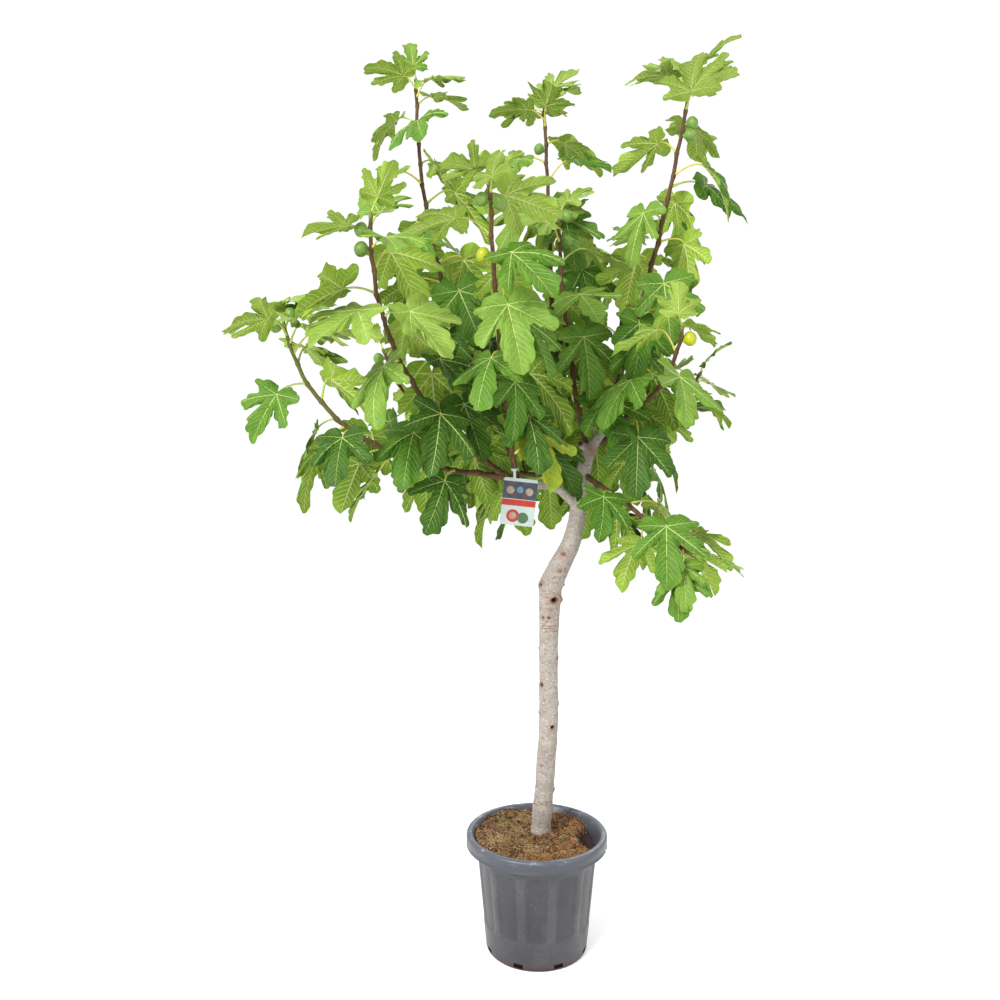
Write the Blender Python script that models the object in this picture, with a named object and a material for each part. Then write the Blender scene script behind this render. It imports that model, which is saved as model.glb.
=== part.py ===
"""A fig tree on one clear stem, standing in a round nursery pot.

Metres, +Z up. The origin is the middle of the pot's flat underside and the tree is
looked at from the -Y side. The stem leaves the soil as a single pole, forks into
boughs at shoulder height, and each bough carries long leafy shoots.
"""

import math
import random
from collections import namedtuple

import bmesh
import bpy
from mathutils import Matrix, Vector
from mathutils.bvhtree import BVHTree

TURN = 2 * math.pi
UP = Vector((0, 0, 1))
GAP = 0.0003                    # clearance between neighbouring solids
BARK_EDGE = 50                  # degrees between faces from which their edge stays sharp
POT_EDGE_TURN = 35
LEAF_EDGE = 40

# The pot: a moulded container of about 25 litres with a turned-down collar
POT_HEIGHT = 0.335
POT_FOOT_RADIUS = 0.144
POT_NECK_RADIUS = 0.174
POT_WALL = 0.003
POT_EDGE = 0.006                # rounding between the underside and the side
POT_SIDES = 44
COLLAR_RADIUS = 0.2010
COLLAR_DROP = 0.036
COLLAR_ROUND = 0.007
SLOT_COUNT = 8
SLOT_WIDTH = 0.027
SLOT_HEIGHT = 0.013
SLOT_DEPTH = 0.018              # of its cutter, through the wall
SLOT_SILL = 0.006
SOIL_LEVEL = 0.309

# Stations of the woody limbs: x, y, z and radius
TRUNK = (
    (0.013, 0.045, SOIL_LEVEL + GAP, 0.0325),
    (0.019, 0.044, 0.380, 0.0275),
    (0.035, 0.040, 0.630, 0.0262),
    (0.034, 0.034, 0.830, 0.0260),
    (0.037, 0.026, 1.000, 0.0280),
    (0.045, 0.023, 1.055, 0.0300),
    (0.097, 0.014, 1.165, 0.0240),
    (0.115, 0.012, 1.260, 0.0225),
    (0.122, 0.012, 1.330, 0.0215),
)
BOUGHS = {
    "bough_right": (
        (0.121, 0.012, 1.318, 0.0200),
        (0.133, 0.012, 1.375, 0.0190),
        (0.145, 0.012, 1.420, 0.0178),
        (0.172, 0.010, 1.462, 0.0135),
        (0.208, 0.008, 1.494, 0.0095),
    ),
    "bough_left": (
        (0.119, 0.014, 1.292, 0.0150),
        (0.060, 0.045, 1.372, 0.0130),
        (-0.019, 0.080, 1.433, 0.0110),
        (-0.082, 0.100, 1.479, 0.0095),
    ),
    "bough_low_left": (
        (0.114, 0.010, 1.262, 0.0135),
        (0.055, -0.016, 1.314, 0.0115),
        (-0.010, -0.036, 1.328, 0.0100),
        (-0.105, -0.060, 1.352, 0.0085),
    ),
    "bough_back": (
        (0.117, 0.014, 1.278, 0.0140),
        (0.126, 0.090, 1.350, 0.0120),
        (0.140, 0.170, 1.410, 0.0105),
        (0.150, 0.240, 1.450, 0.0090),
    ),
}
TRUNK_SIDES = 12
BOUGH_SIDES = 8
LIMB_STEP = 0.055               # spacing of the rings along a limb

# Shoots: the limb and the place along it that each springs from, its bend and its tip,
# how many leaves it carries, the seeds that deal them out from the tip down, a few to
# each, and its figs, each as the distance below the tip and the side of the stem in degrees
Shoot = namedtuple("Shoot", "name limb place elbow tip leaves seeds figs")
SHOOTS = (
    Shoot("shoot_far_left", "bough_low_left", 0.97, (-0.613, -0.116, 1.386),
          (-0.668, -0.160, 1.769), 14, (432, 65, 214, 219), ((0.010, 180), (0.030, 10))),
    Shoot("shoot_front_left", "bough_low_left", 0.90, (-0.445, -0.190, 1.580),
          (-0.412, -0.340, 1.977), 15, (553, 365, 136, 399), ((0.040, 0), (0.085, 10))),
    Shoot("shoot_tall_left", "bough_left", 0.97, (-0.348, 0.125, 1.880),
          (-0.348, 0.160, 2.489), 18, (77, 70, 107, 577), ()),
    Shoot("shoot_front_middle", "bough_low_left", 0.82, (-0.124, -0.216, 1.753),
          (-0.128, -0.380, 2.048), 15, (402, 94, 461, 696), ((0.060, 180), (0.050, 0), (0.180, 0))),
    Shoot("shoot_tall_middle", "bough_left", 0.45, (0.050, 0.150, 1.906),
          (0.026, 0.240, 2.451), 18, (50, 585, 405, 139), ((0.030, 180), (0.150, 10))),
    Shoot("shoot_short_middle", "bough_right", 0.42, (0.066, 0.030, 1.742),
          (0.059, 0.040, 2.072), 13, (491, 409, 107, 1), ((0.010, 180), (0.080, 180))),
    Shoot("shoot_tall_right", "bough_right", 0.80, (0.330, -0.030, 1.930),
          (0.401, -0.060, 2.396), 18, (175, 165, 402, 237), ((0.140, 180), (0.110, 180), (0.390, 0))),
    Shoot("shoot_right", "bough_right", 0.97, (0.351, -0.120, 1.562),
          (0.351, -0.240, 1.730), 10, (450, 540, 1, 1), ((0.040, 180),)),
    Shoot("shoot_low_right", "bough_right", 0.16, (0.262, -0.140, 1.262),
          (0.375, -0.270, 1.159), 11, (559, 514, 1, 1), ((0.060, 90), (0.110, 270))),
    Shoot("shoot_outer_right", "bough_right", 0.62, (0.366, 0.139, 1.484),
          (0.500, 0.220, 1.650), 11, (274, 503, 1, 1), ()),
    Shoot("shoot_back_left", "bough_left", 0.80, (-0.190, 0.400, 1.700),
          (-0.220, 0.500, 2.020), 14, (697, 301, 414, 544), ((0.030, 90), (0.080, 200))),
    Shoot("shoot_back_middle", "bough_back", 0.97, (0.110, 0.520, 1.620),
          (0.080, 0.600, 1.900), 12, (306, 157, 657, 1), ((0.040, 20),)),
    Shoot("shoot_back_right", "bough_back", 0.80, (0.300, 0.380, 1.750),
          (0.320, 0.440, 2.120), 14, (533, 377, 164, 207), ((0.050, 160), (0.090, 20))),
    Shoot("shoot_back_far_left", "bough_left", 0.62, (-0.400, 0.330, 1.460),
          (-0.480, 0.400, 1.740), 12, (438, 315, 505, 1), ((0.030, 0),)),
    Shoot("shoot_back_low_left", "bough_left", 0.30, (-0.160, 0.360, 1.330),
          (-0.330, 0.480, 1.420), 11, (452, 6, 23, 1), ()),
    Shoot("shoot_back_low_right", "bough_back", 0.55, (0.380, 0.330, 1.340),
          (0.460, 0.450, 1.560), 11, (445, 343, 586, 1), ((0.030, 120),)),
)
STEM_FOOT = 0.0064              # radius where a shoot leaves its limb
STEM_TOP = 0.0036               # and under its tip bud
STEM_SIDES = 4
STEM_RINGS = 9
BUD_LENGTH = 0.014
BUD_RADIUS = 0.0008

# Leaves: half the outline, from the midrib's tip round to the heel, each point as its
# angle from the midrib in degrees and its reach as a share of the leaf's length
HALF_LEAF = ((9, 0.98), (20, 0.50), (43, 0.80), (69, 0.38), (100, 0.46))
BLADE_MIDDLE = 0.30             # height of the blade's thickest point, as a share
BLADE_THICK = 0.020             # its thickness there, as a share of the length
LEAF_LENGTH = 0.172             # a grown blade, from stalk to tip
LEAF_YOUNG = 0.056              # how much shorter the topmost one is
STALK_LENGTH = 0.074
STALK_YOUNG = 0.036
STALK_RADIUS = 0.0019
STALK_KNEE = 0.010              # the stalk's last stretch, in line with the blade
STALK_KEEL = 1.5                # depth of its three-sided section, as a share of the radius
SPIRAL = 137.5                  # degrees from one leaf to the next
SPACING = 0.055                 # along the stem between grown leaves
CROWDING = 0.60                 # how far the topmost leaves close up
CROWDED = 3                     # leaves down the stem until most of that is over
GROWN = 1.8                     # leaves down the stem until most growth is done
RISE_TIP = 0.65                 # the top blade's rise, as a share of its stem's own
RISE_FOOT = -68                 # and that of the lowest blades, in degrees
RISE_RATE = 4.0                 # leaves down the stem until most of the droop is reached
BARE_FOOT = 0.07                # length of stem next to the limb that carries no leaf
SPLAY = 68                      # degrees between a grown leaf's stalk and its stem
SPLAY_YOUNG = 34                # how much closer the topmost stalk keeps to it
SPLAY_STRAY = 8
LIFT_YOUNG = 0.30               # how far the topmost stalk turns upward
SAG = 0.12                      # and how far a grown one turns down
SWAY = 22                       # how far a leaf strays from the rule, in degrees
ROLL = 38                       # how far a blade turns about its midrib, in degrees
LEVEL_LEAST = 0.2               # below this reach a stalk counts as plumb
LENGTH_SPREAD = (0.86, 1.12)    # shares that the blades and stalks vary between
STALK_SPREAD = (0.75, 1.25)
ARCH = (0.02, 0.30)             # how far a blade bends down along its midrib
FOLD = (0.06, 0.28)             # how far its halves rise from the midrib
WING = (0.00, 0.30)             # and how far their edges fall again
LEAVES_PER_SEED = 4
TRIES = 12                      # ways of holding a leaf before it is left out
ROOM = 0.004                    # free space that a leaf keeps around it
OWN_STEM = 0.022                # length of stalk that may touch its own shoot

FIG_RADIUS = 0.0165
FIG_LENGTH = 0.036
FIG_PROFILE = ((0.12, 0.36), (0.55, 1.00), (0.90, 0.66))
FIG_SIDES = 6
FIG_TILT = 0.35                 # how far a fig leans towards the shoot's tip

# The nursery label: a thin card that hangs from a strap round the front shoot
LABEL_WIDTH = 0.092
LABEL_HEIGHT = 0.128
LABEL_THICK = 0.0010
LABEL_LEAN = 6                  # degrees out of plumb
LABEL_SIGHT = 0.40              # free space in front of the card
LABEL_PLACE = 0.035             # where it hangs, as a share of the shoot's length
LABEL_HANG = 0.027              # from the strap's ring down to the card
LABEL_SHIFT = 0.018             # of the card beside its ring
LABEL_SEAT = 0.97               # how far out the card lies, as a share of the ring's radius
STRAP_WIDTH = 0.007
STRAP_THICK = 0.0012
STRAP_PLAY = 0.0007             # between the ring and the stem
STRAP_SIDES = 12
LABEL_SHOOT = "shoot_front_middle"

Limb = namedtuple("Limb", "points radii")
Leaf = namedtuple("Leaf", "root knee joint right along face length arch fold wing")


def clear_scene():
    """Remove whatever the file starts with."""
    for obj in list(bpy.data.objects):
        bpy.data.objects.remove(obj)


def plain_material(name, colour, roughness):
    """A Principled material of one colour."""
    material = bpy.data.materials.new(name)
    material.use_nodes = True
    shader = material.node_tree.nodes["Principled BSDF"]
    shader.inputs["Base Color"].default_value = (*colour, 1)
    shader.inputs["Roughness"].default_value = roughness
    material.diffuse_color = (*colour, 1)
    return material


def add_object(name, bm, material):
    """Put a bmesh into the scene as an object with outward faces."""
    bmesh.ops.recalc_face_normals(bm, faces=bm.faces)
    if bm.calc_volume(signed=True) < 0:
        bmesh.ops.reverse_faces(bm, faces=bm.faces)
    mesh = bpy.data.meshes.new(name)
    bm.to_mesh(mesh)
    bm.free()
    obj = bpy.data.objects.new(name, mesh)
    bpy.context.scene.collection.objects.link(obj)
    obj.data.materials.append(material)
    return obj


def as_bmesh(shape):
    """A bmesh from a pair of point and face lists."""
    points, faces = shape
    bm = bmesh.new()
    verts = [bm.verts.new(point) for point in points]
    for face in faces:
        bm.faces.new([verts[corner] for corner in face])
    return bm


def freeze(obj):
    """Apply an object's modifiers to its mesh."""
    graph = bpy.context.evaluated_depsgraph_get()
    mesh = bpy.data.meshes.new_from_object(obj.evaluated_get(graph))
    spent = obj.data
    obj.modifiers.clear()
    obj.data = mesh
    bpy.data.meshes.remove(spent)


def cut_away(obj, cutters):
    """Take the cutters out of an object and remove them."""
    for cutter in cutters:
        cutter.hide_render = True
        cutter.display_type = "WIRE"
        cut = obj.modifiers.new("cut", "BOOLEAN")
        cut.operation = "DIFFERENCE"
        cut.object = cutter
    freeze(obj)
    for cutter in cutters:
        bpy.data.objects.remove(cutter)


def smooth(obj, angle):
    """Shade smooth except across edges sharper than the angle in degrees."""
    obj.data.shade_smooth()
    obj.data.set_sharp_from_angle(angle=math.radians(angle))


# Limbs

def through(stations):
    """A smooth limb through its stations, with rings a set distance apart."""
    points, radii = [], []
    rows = [Vector(station) for station in stations]
    ends = [rows[0] * 2 - rows[1], *rows, rows[-1] * 2 - rows[-2]]
    for before, start, stop, after in zip(ends, ends[1:], ends[2:], ends[3:]):
        steps = max(1, round((stop - start).length / LIMB_STEP))
        for step in range(steps):
            t = step / steps
            spot = 0.5 * (
                start * 2
                + (stop - before) * t
                + (before * 2 - start * 5 + stop * 4 - after) * t ** 2
                + (start * 3 - before - stop * 3 + after) * t ** 3
            )
            points.append(spot.to_3d())
            radii.append(spot[3])
    points.append(rows[-1].to_3d())
    radii.append(rows[-1][3])
    return Limb(points, radii)


def tube_shape(limb, sides, swell=0.0):
    """Points and faces of a closed tapering tube, fattened all over by swell."""
    path = list(limb.points)
    path[0] = path[0] - (path[1] - path[0]).normalized() * swell
    path[-1] = path[-1] + (path[-1] - path[-2]).normalized() * swell
    points, faces = [], []
    side = (path[1] - path[0]).orthogonal().normalized()
    for index, centre in enumerate(path):
        ahead = path[min(index + 1, len(path) - 1)]
        behind = path[max(index - 1, 0)]
        along = (ahead - behind).normalized()
        side = (side - along * side.dot(along)).normalized()
        across = along.cross(side)
        for step in range(sides):
            turn = TURN * step / sides
            rim = side * math.cos(turn) + across * math.sin(turn)
            points.append(centre + rim * (limb.radii[index] + swell))
    for index in range(len(path) - 1):
        for step in range(sides):
            low = index * sides + step
            low_next = index * sides + (step + 1) % sides
            faces.append((low, low_next, low_next + sides))
            faces.append((low, low_next + sides, low + sides))
    faces.append(tuple(reversed(range(sides))))
    top = (len(path) - 1) * sides
    faces.append(tuple(range(top, top + sides)))
    return points, faces


def limb_spot(limb, place):
    """The point and radius at a share of a limb's length."""
    index = place * (len(limb.points) - 1)
    low = min(int(index), len(limb.points) - 2)
    t = index - low
    point = limb.points[low].lerp(limb.points[low + 1], t)
    return point, limb.radii[low] * (1 - t) + limb.radii[low + 1] * t


def build_limbs():
    """The trunk and the boughs, each cut clear of those before it."""
    limbs = {"trunk": through(TRUNK)}
    bark = plain_material("pale_bark", (0.62, 0.56, 0.50), 0.85)
    pole = add_object("trunk", as_bmesh(tube_shape(limbs["trunk"], TRUNK_SIDES)), bark)
    smooth(pole, BARK_EDGE)
    flat_foot(pole)
    made = [("trunk", TRUNK_SIDES)]
    for name, stations in BOUGHS.items():
        limbs[name] = through(stations)
        grey = plain_material(name + "_bark", (0.50, 0.44, 0.38), 0.85)
        bough = add_object(name, as_bmesh(tube_shape(limbs[name], BOUGH_SIDES)), grey)
        cutters = [
            add_object("clearance", as_bmesh(tube_shape(limbs[other], sides, GAP)), bark)
            for other, sides in made
        ]
        cut_away(bough, cutters)
        keep_main_body(bough)
        smooth(bough, BARK_EDGE)
        made.append((name, BOUGH_SIDES))
    return limbs


def flat_foot(pole):
    """Bring the trunk's lowest ring level with the soil."""
    floor = SOIL_LEVEL + GAP
    for vert in pole.data.vertices:
        if vert.co.z < floor + TRUNK[0][3]:
            vert.co.z = floor


# The pot and its soil

def inner_radius(height):
    """The pot's inside radius at a height."""
    share = (height - POT_WALL) / (POT_HEIGHT - POT_WALL)
    foot = POT_FOOT_RADIUS - POT_WALL
    return foot + (POT_NECK_RADIUS - POT_WALL - foot) * share


def turned(profile, sides):
    """A solid turned round the Z axis from a profile that starts and ends on it."""
    bm = bmesh.new()
    chain = [bm.verts.new((radius, 0, height)) for radius, height in profile]
    edges = [bm.edges.new(pair) for pair in zip(chain, chain[1:])]
    bmesh.ops.spin(bm, geom=chain + edges, cent=(0, 0, 0), axis=UP, angle=TURN,
                   steps=sides, use_merge=True, use_duplicate=False)
    bmesh.ops.remove_doubles(bm, verts=bm.verts, dist=0.00001)
    bmesh.ops.triangulate(bm, faces=bm.faces)
    return bm


def build_pot():
    """The pot's wall, floor and turned-down collar, with drain slots round the foot."""
    skirt = COLLAR_RADIUS - POT_WALL
    under = POT_HEIGHT - POT_WALL
    diagonal = POT_EDGE * (1 - math.sqrt(0.5))
    profile = (
        (0, 0),
        (POT_FOOT_RADIUS - POT_EDGE, 0),
        (POT_FOOT_RADIUS - diagonal, diagonal),
        (POT_FOOT_RADIUS, POT_EDGE),
        (POT_NECK_RADIUS, under),
        (skirt - COLLAR_ROUND, under),
        (skirt, under - COLLAR_ROUND),
        (skirt, POT_HEIGHT - COLLAR_DROP),
        (COLLAR_RADIUS, POT_HEIGHT - COLLAR_DROP),
        (COLLAR_RADIUS, POT_HEIGHT - COLLAR_ROUND),
        (COLLAR_RADIUS - COLLAR_ROUND, POT_HEIGHT),
        (inner_radius(POT_HEIGHT), POT_HEIGHT),
        (inner_radius(POT_WALL), POT_WALL),
        (0, POT_WALL),
    )
    plastic = plain_material("pot_plastic", (0.10, 0.10, 0.115), 0.6)
    pot = add_object("pot", turned(profile, POT_SIDES), plastic)
    slots = bmesh.new()
    for index in range(SLOT_COUNT):
        place = (
            Matrix.Rotation(TURN * (index + 0.5) / SLOT_COUNT, 4, "Z")
            @ Matrix.Translation((0, -POT_FOOT_RADIUS, SLOT_SILL + SLOT_HEIGHT / 2))
            @ Matrix.Diagonal((SLOT_WIDTH, SLOT_DEPTH, SLOT_HEIGHT, 1))
        )
        bmesh.ops.create_cube(slots, size=1, matrix=place)
    cut_away(pot, [add_object("slots", slots, plastic)])
    smooth(pot, POT_EDGE_TURN)


def build_soil():
    """The plug of compost that fills the pot up to just under its rim."""
    bottom = POT_WALL + GAP
    profile = (
        (0, bottom),
        (inner_radius(bottom) - GAP, bottom),
        (inner_radius(SOIL_LEVEL) - GAP, SOIL_LEVEL),
        (0, SOIL_LEVEL),
    )
    compost = plain_material("compost", (0.22, 0.14, 0.08), 0.95)
    soil = add_object("soil", turned(profile, POT_SIDES), compost)
    smooth(soil, POT_EDGE_TURN)


# Shoots, leaves and figs

def grow_stem(shoot, limbs):
    """A shoot's stem, bending from its limb through the elbow's pull to its tip."""
    foot, _ = limb_spot(limbs[shoot.limb], shoot.place)
    elbow, tip = Vector(shoot.elbow), Vector(shoot.tip)
    points, radii = [], []
    for ring in range(STEM_RINGS + 1):
        t = ring / STEM_RINGS
        points.append(foot * (1 - t) ** 2 + elbow * 2 * t * (1 - t) + tip * t ** 2)
        radii.append(STEM_FOOT + (STEM_TOP - STEM_FOOT) * t)
    points.append(tip + (tip - points[-2]).normalized() * BUD_LENGTH)
    radii.append(BUD_RADIUS)
    return Limb(points, radii)


def below_tip(stem, distance):
    """The point, direction and radius at a distance down a stem from its tip."""
    for index in range(len(stem.points) - 2, 0, -1):
        top, bottom = stem.points[index], stem.points[index - 1]
        span = (top - bottom).length
        if distance <= span or index == 1:
            share = min(distance / span, 1)
            radius = stem.radii[index] * (1 - share) + stem.radii[index - 1] * share
            return top.lerp(bottom, share), (top - bottom).normalized(), radius
        distance -= span


def round_stem(axis, degrees):
    """The direction square to a stem at an angle round it, 0 being -X on an upright."""
    side = Vector((0, -1, 0)).cross(axis)
    side = (side - axis * side.dot(axis)).normalized()
    turn = math.radians(degrees)
    return side * math.cos(turn) + axis.cross(side) * math.sin(turn)


def leaf_distance(index):
    """How far below the tip of its shoot a leaf stands."""
    return SPACING * index * (1 - CROWDING * math.exp(-index / CROWDED))


def aim_leaf(shoot, stem, index, attempt):
    """How one leaf leaves its stem and holds its blade, counting down from the tip."""
    seed = shoot.seeds[min(index // LEAVES_PER_SEED, len(shoot.seeds) - 1)]
    dice = random.Random(f"{seed}/{index}/{attempt}")
    youth = math.exp(-index / GROWN)
    root, axis, radius = below_tip(stem, leaf_distance(index))
    start = random.Random(shoot.seeds[0]).uniform(0, 360)
    turn = start + SPIRAL * index + dice.uniform(-SWAY, SWAY) * (1 + attempt / 2)
    outward = round_stem(axis, turn)
    stray = dice.uniform(-SPLAY_STRAY, SPLAY_STRAY)
    splay = math.radians(SPLAY - SPLAY_YOUNG * youth + stray)
    leave = axis * math.cos(splay) + outward * math.sin(splay)
    leave = (leave + UP * (LIFT_YOUNG * youth - SAG)).normalized()
    level = Vector((leave.x, leave.y, 0))
    if level.length < LEVEL_LEAST:
        level = Vector((outward.x, outward.y, 0))
    level.normalize()
    level.rotate(Matrix.Rotation(math.radians(dice.uniform(-SWAY, SWAY)), 3, "Z"))
    top_rise = RISE_TIP * math.degrees(math.asin(axis.z))
    rise = RISE_FOOT + (top_rise - RISE_FOOT) * math.exp(-index / RISE_RATE)
    rise = math.radians(rise + dice.uniform(-SWAY, SWAY))
    along = level * math.cos(rise) + UP * math.sin(rise)
    face = UP * math.cos(rise) - level * math.sin(rise)
    face.rotate(Matrix.Rotation(math.radians(dice.uniform(-ROLL, ROLL)), 3, along))
    length = (LEAF_LENGTH - LEAF_YOUNG * youth) * dice.uniform(*LENGTH_SPREAD)
    stalk = (STALK_LENGTH - STALK_YOUNG * youth) * dice.uniform(*STALK_SPREAD)
    knee = root + leave * (radius + stalk)
    arch = dice.uniform(*ARCH)
    fold = dice.uniform(*FOLD)
    wing = dice.uniform(*WING)
    return Leaf(root, knee, knee + along * STALK_KNEE, along.cross(face), along, face,
                length, arch, fold, wing)


def on_blade(leaf, x, y, lift=0.0):
    """A point of the bent blade, from its place on the flat leaf of length 1."""
    height = leaf.fold * abs(x) - leaf.arch * y * y - leaf.wing * x * x + lift
    return leaf.joint + (leaf.right * x + leaf.along * y + leaf.face * height) * leaf.length


def blade_rim(leaf, grow):
    """The blade's outline from the heel up the right side, and down the left side."""
    right, left = [], []
    for degrees, reach in HALF_LEAF:
        turn = math.radians(degrees)
        out, up = reach * grow * math.sin(turn), reach * grow * math.cos(turn)
        right.insert(0, on_blade(leaf, out, up))
        left.append(on_blade(leaf, -out, up))
    return right + left


def leaf_shape(leaf, room=0.0, stalk_from=0.0):
    """Points and faces of a lobed blade and its three-sided stalk, as one closed body."""
    lift = BLADE_THICK / 2 + room / leaf.length
    radius = STALK_RADIUS + room / 2
    leave = (leaf.knee - leaf.root).normalized()
    rings = []
    for centre, along in (
        (leaf.joint, leaf.along),
        (leaf.knee, (leaf.along + leave).normalized()),
        (leaf.root.lerp(leaf.knee, stalk_from), leave),
    ):
        side = (leaf.right - along * leaf.right.dot(along)).normalized()
        keel = along.cross(side) * radius * STALK_KEEL
        rings.append((centre + side * radius, centre + keel, centre - side * radius))
    edge = blade_rim(leaf, 1 + room / leaf.length)
    points = [
        on_blade(leaf, 0, BLADE_MIDDLE, lift),
        on_blade(leaf, 0, BLADE_MIDDLE, -lift),
        *rings[0], *edge, *rings[1], *rings[2],
    ]
    top, bottom, right, under, left = range(5)
    knee = 5 + len(edge)
    rim = [right, *range(5, knee), left]
    faces = [(top, left, right), (bottom, right, under), (bottom, under, left)]
    for here, after in zip(rim, rim[1:]):
        faces += [(top, here, after), (bottom, after, here)]
    for low, high in ((right, knee), (knee, knee + 3)):
        for corner in range(3):
            after = (corner + 1) % 3
            faces.append((low + corner, high + corner, high + after))
            faces.append((low + corner, high + after, low + after))
    faces.append((knee + 3, knee + 5, knee + 4))
    return points, faces


def fig_shape(root, axis):
    """Points and faces of a fig that stands out from its stem along an axis."""
    side = axis.orthogonal().normalized()
    across = axis.cross(side)
    points = [root]
    for height, width in FIG_PROFILE:
        for step in range(FIG_SIDES):
            turn = TURN * step / FIG_SIDES
            rim = side * math.cos(turn) + across * math.sin(turn)
            points.append(root + axis * FIG_LENGTH * height + rim * FIG_RADIUS * width)
    points.append(root + axis * FIG_LENGTH)
    crown = len(points) - 1
    faces = []
    for step in range(FIG_SIDES):
        after = (step + 1) % FIG_SIDES
        faces.append((0, 1 + after, 1 + step))
        for ring in range(len(FIG_PROFILE) - 1):
            low = 1 + ring * FIG_SIDES
            faces.append((low + step, low + after, low + after + FIG_SIDES))
            faces.append((low + step, low + after + FIG_SIDES, low + step + FIG_SIDES))
        last = 1 + (len(FIG_PROFILE) - 1) * FIG_SIDES
        faces.append((last + step, last + after, crown))
    return points, faces


def grow_figs(shoot, stem):
    """The figs of a shoot, as shapes."""
    figs = []
    for distance, degrees in shoot.figs:
        root, axis, _ = below_tip(stem, distance)
        stand = (round_stem(axis, degrees) + axis * FIG_TILT).normalized()
        figs.append(fig_shape(root, stand))
    return figs


class Obstacles:
    """Everything already in its place, kept for clearance tests."""

    def __init__(self):
        self.items = []

    def add(self, shape, name=None):
        """Take a shape's space, under the name of a stem where it is one."""
        points, faces = shape
        middle = sum(points, Vector()) / len(points)
        reach = max((point - middle).length for point in points)
        self.items.append((name, middle, reach, BVHTree.FromPolygons(points, faces)))

    def touches(self, shape, skip=None, only=None):
        """Whether a shape cuts what is in place, all but one stem or only that stem."""
        points, faces = shape
        middle = sum(points, Vector()) / len(points)
        reach = max((point - middle).length for point in points)
        tree = None
        for name, centre, size, other in self.items:
            if (skip and name == skip) or (only and name != only):
                continue
            if (centre - middle).length > reach + size:
                continue
            tree = tree or BVHTree.FromPolygons(points, faces)
            if tree.overlap(other):
                return True
        return False


def place_leaf(shoot, stem, index, obstacles):
    """One leaf in the first way of holding it that finds free space, or none."""
    for attempt in range(TRIES):
        leaf = aim_leaf(shoot, stem, index, attempt)
        free_from = OWN_STEM / (leaf.knee - leaf.root).length
        if obstacles.touches(leaf_shape(leaf, ROOM), skip=shoot.name):
            continue
        if obstacles.touches(leaf_shape(leaf, ROOM, free_from), only=shoot.name):
            continue
        obstacles.add(leaf_shape(leaf))
        return leaf
    return None


def grow_leaves(shoot, stem, obstacles):
    """A shoot's leaves, from the tip down to the bare stretch at its foot."""
    length = sum((b - a).length for a, b in zip(stem.points, stem.points[1:]))
    places = [i for i in range(shoot.leaves) if leaf_distance(i) < length - BARE_FOOT]
    leaves = [place_leaf(shoot, stem, index, obstacles) for index in places]
    return [leaf for leaf in leaves if leaf]


def keep_main_body(obj):
    """Keep the largest closed piece of a mesh: loose scraps and sealed hollows go."""
    bm = bmesh.new()
    bm.from_mesh(obj.data)
    waiting = set(bm.faces)
    bodies = []
    while waiting:
        stack = [waiting.pop()]
        body = []
        while stack:
            face = stack.pop()
            body.append(face)
            for edge in face.edges:
                for other in edge.link_faces:
                    if other in waiting:
                        waiting.remove(other)
                        stack.append(other)
        bodies.append(body)
    bodies.sort(key=len)
    spare = [face for body in bodies[:-1] for face in body]
    if spare:
        bmesh.ops.delete(bm, geom=spare, context="FACES")
    bm.to_mesh(obj.data)
    bm.free()


def build_mass(shoot, stem, leaves, figs, limbs):
    """One mass of foliage: stem, leaves and figs fused, and cut clear of its limb."""
    green = plain_material(shoot.name + "_green", (0.20, 0.36, 0.08), 0.6)
    mass = add_object(shoot.name, as_bmesh(tube_shape(stem, STEM_SIDES)), green)
    limb = tube_shape(limbs[shoot.limb], BOUGH_SIDES, GAP)
    cut_away(mass, [add_object("clearance", as_bmesh(limb), green)])
    spray = bpy.data.collections.new("spray")
    for shape in [leaf_shape(leaf) for leaf in leaves] + figs:
        piece = add_object("piece", as_bmesh(shape), green)
        bpy.context.scene.collection.objects.unlink(piece)
        spray.objects.link(piece)
    fuse = mass.modifiers.new("fuse", "BOOLEAN")
    fuse.operation = "UNION"
    fuse.operand_type = "COLLECTION"
    fuse.solver = "MANIFOLD"
    fuse.collection = spray
    freeze(mass)
    for piece in list(spray.objects):
        bpy.data.objects.remove(piece)
    bpy.data.collections.remove(spray)
    keep_main_body(mass)
    smooth(mass, LEAF_EDGE)


# The label

def band_shape(inner, outer, width, sides):
    """Points and faces of a flat ring round the Z axis."""
    points, faces = [], []
    corners = ((inner, -width / 2), (outer, -width / 2), (outer, width / 2), (inner, width / 2))
    for step in range(sides):
        turn = TURN * step / sides
        for radius, height in corners:
            points.append(Vector((radius * math.cos(turn), radius * math.sin(turn), height)))
    for step in range(sides):
        here, after = step * 4, (step + 1) % sides * 4
        for corner in range(4):
            other = (corner + 1) % 4
            faces.append((here + corner, after + corner, after + other))
            faces.append((here + corner, after + other, here + other))
    return points, faces


def box_shape(low, high, turn=Matrix(), about=Vector()):
    """Points and faces of a box between two corners, turned about a point."""
    points = []
    for x in (low[0], high[0]):
        for y in (low[1], high[1]):
            for z in (low[2], high[2]):
                points.append(about + turn @ (Vector((x, y, z)) - about))
    faces = [(0, 1, 3, 2), (4, 6, 7, 5), (0, 4, 5, 1), (2, 3, 7, 6), (0, 2, 6, 4), (1, 5, 7, 3)]
    return points, faces


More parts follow.
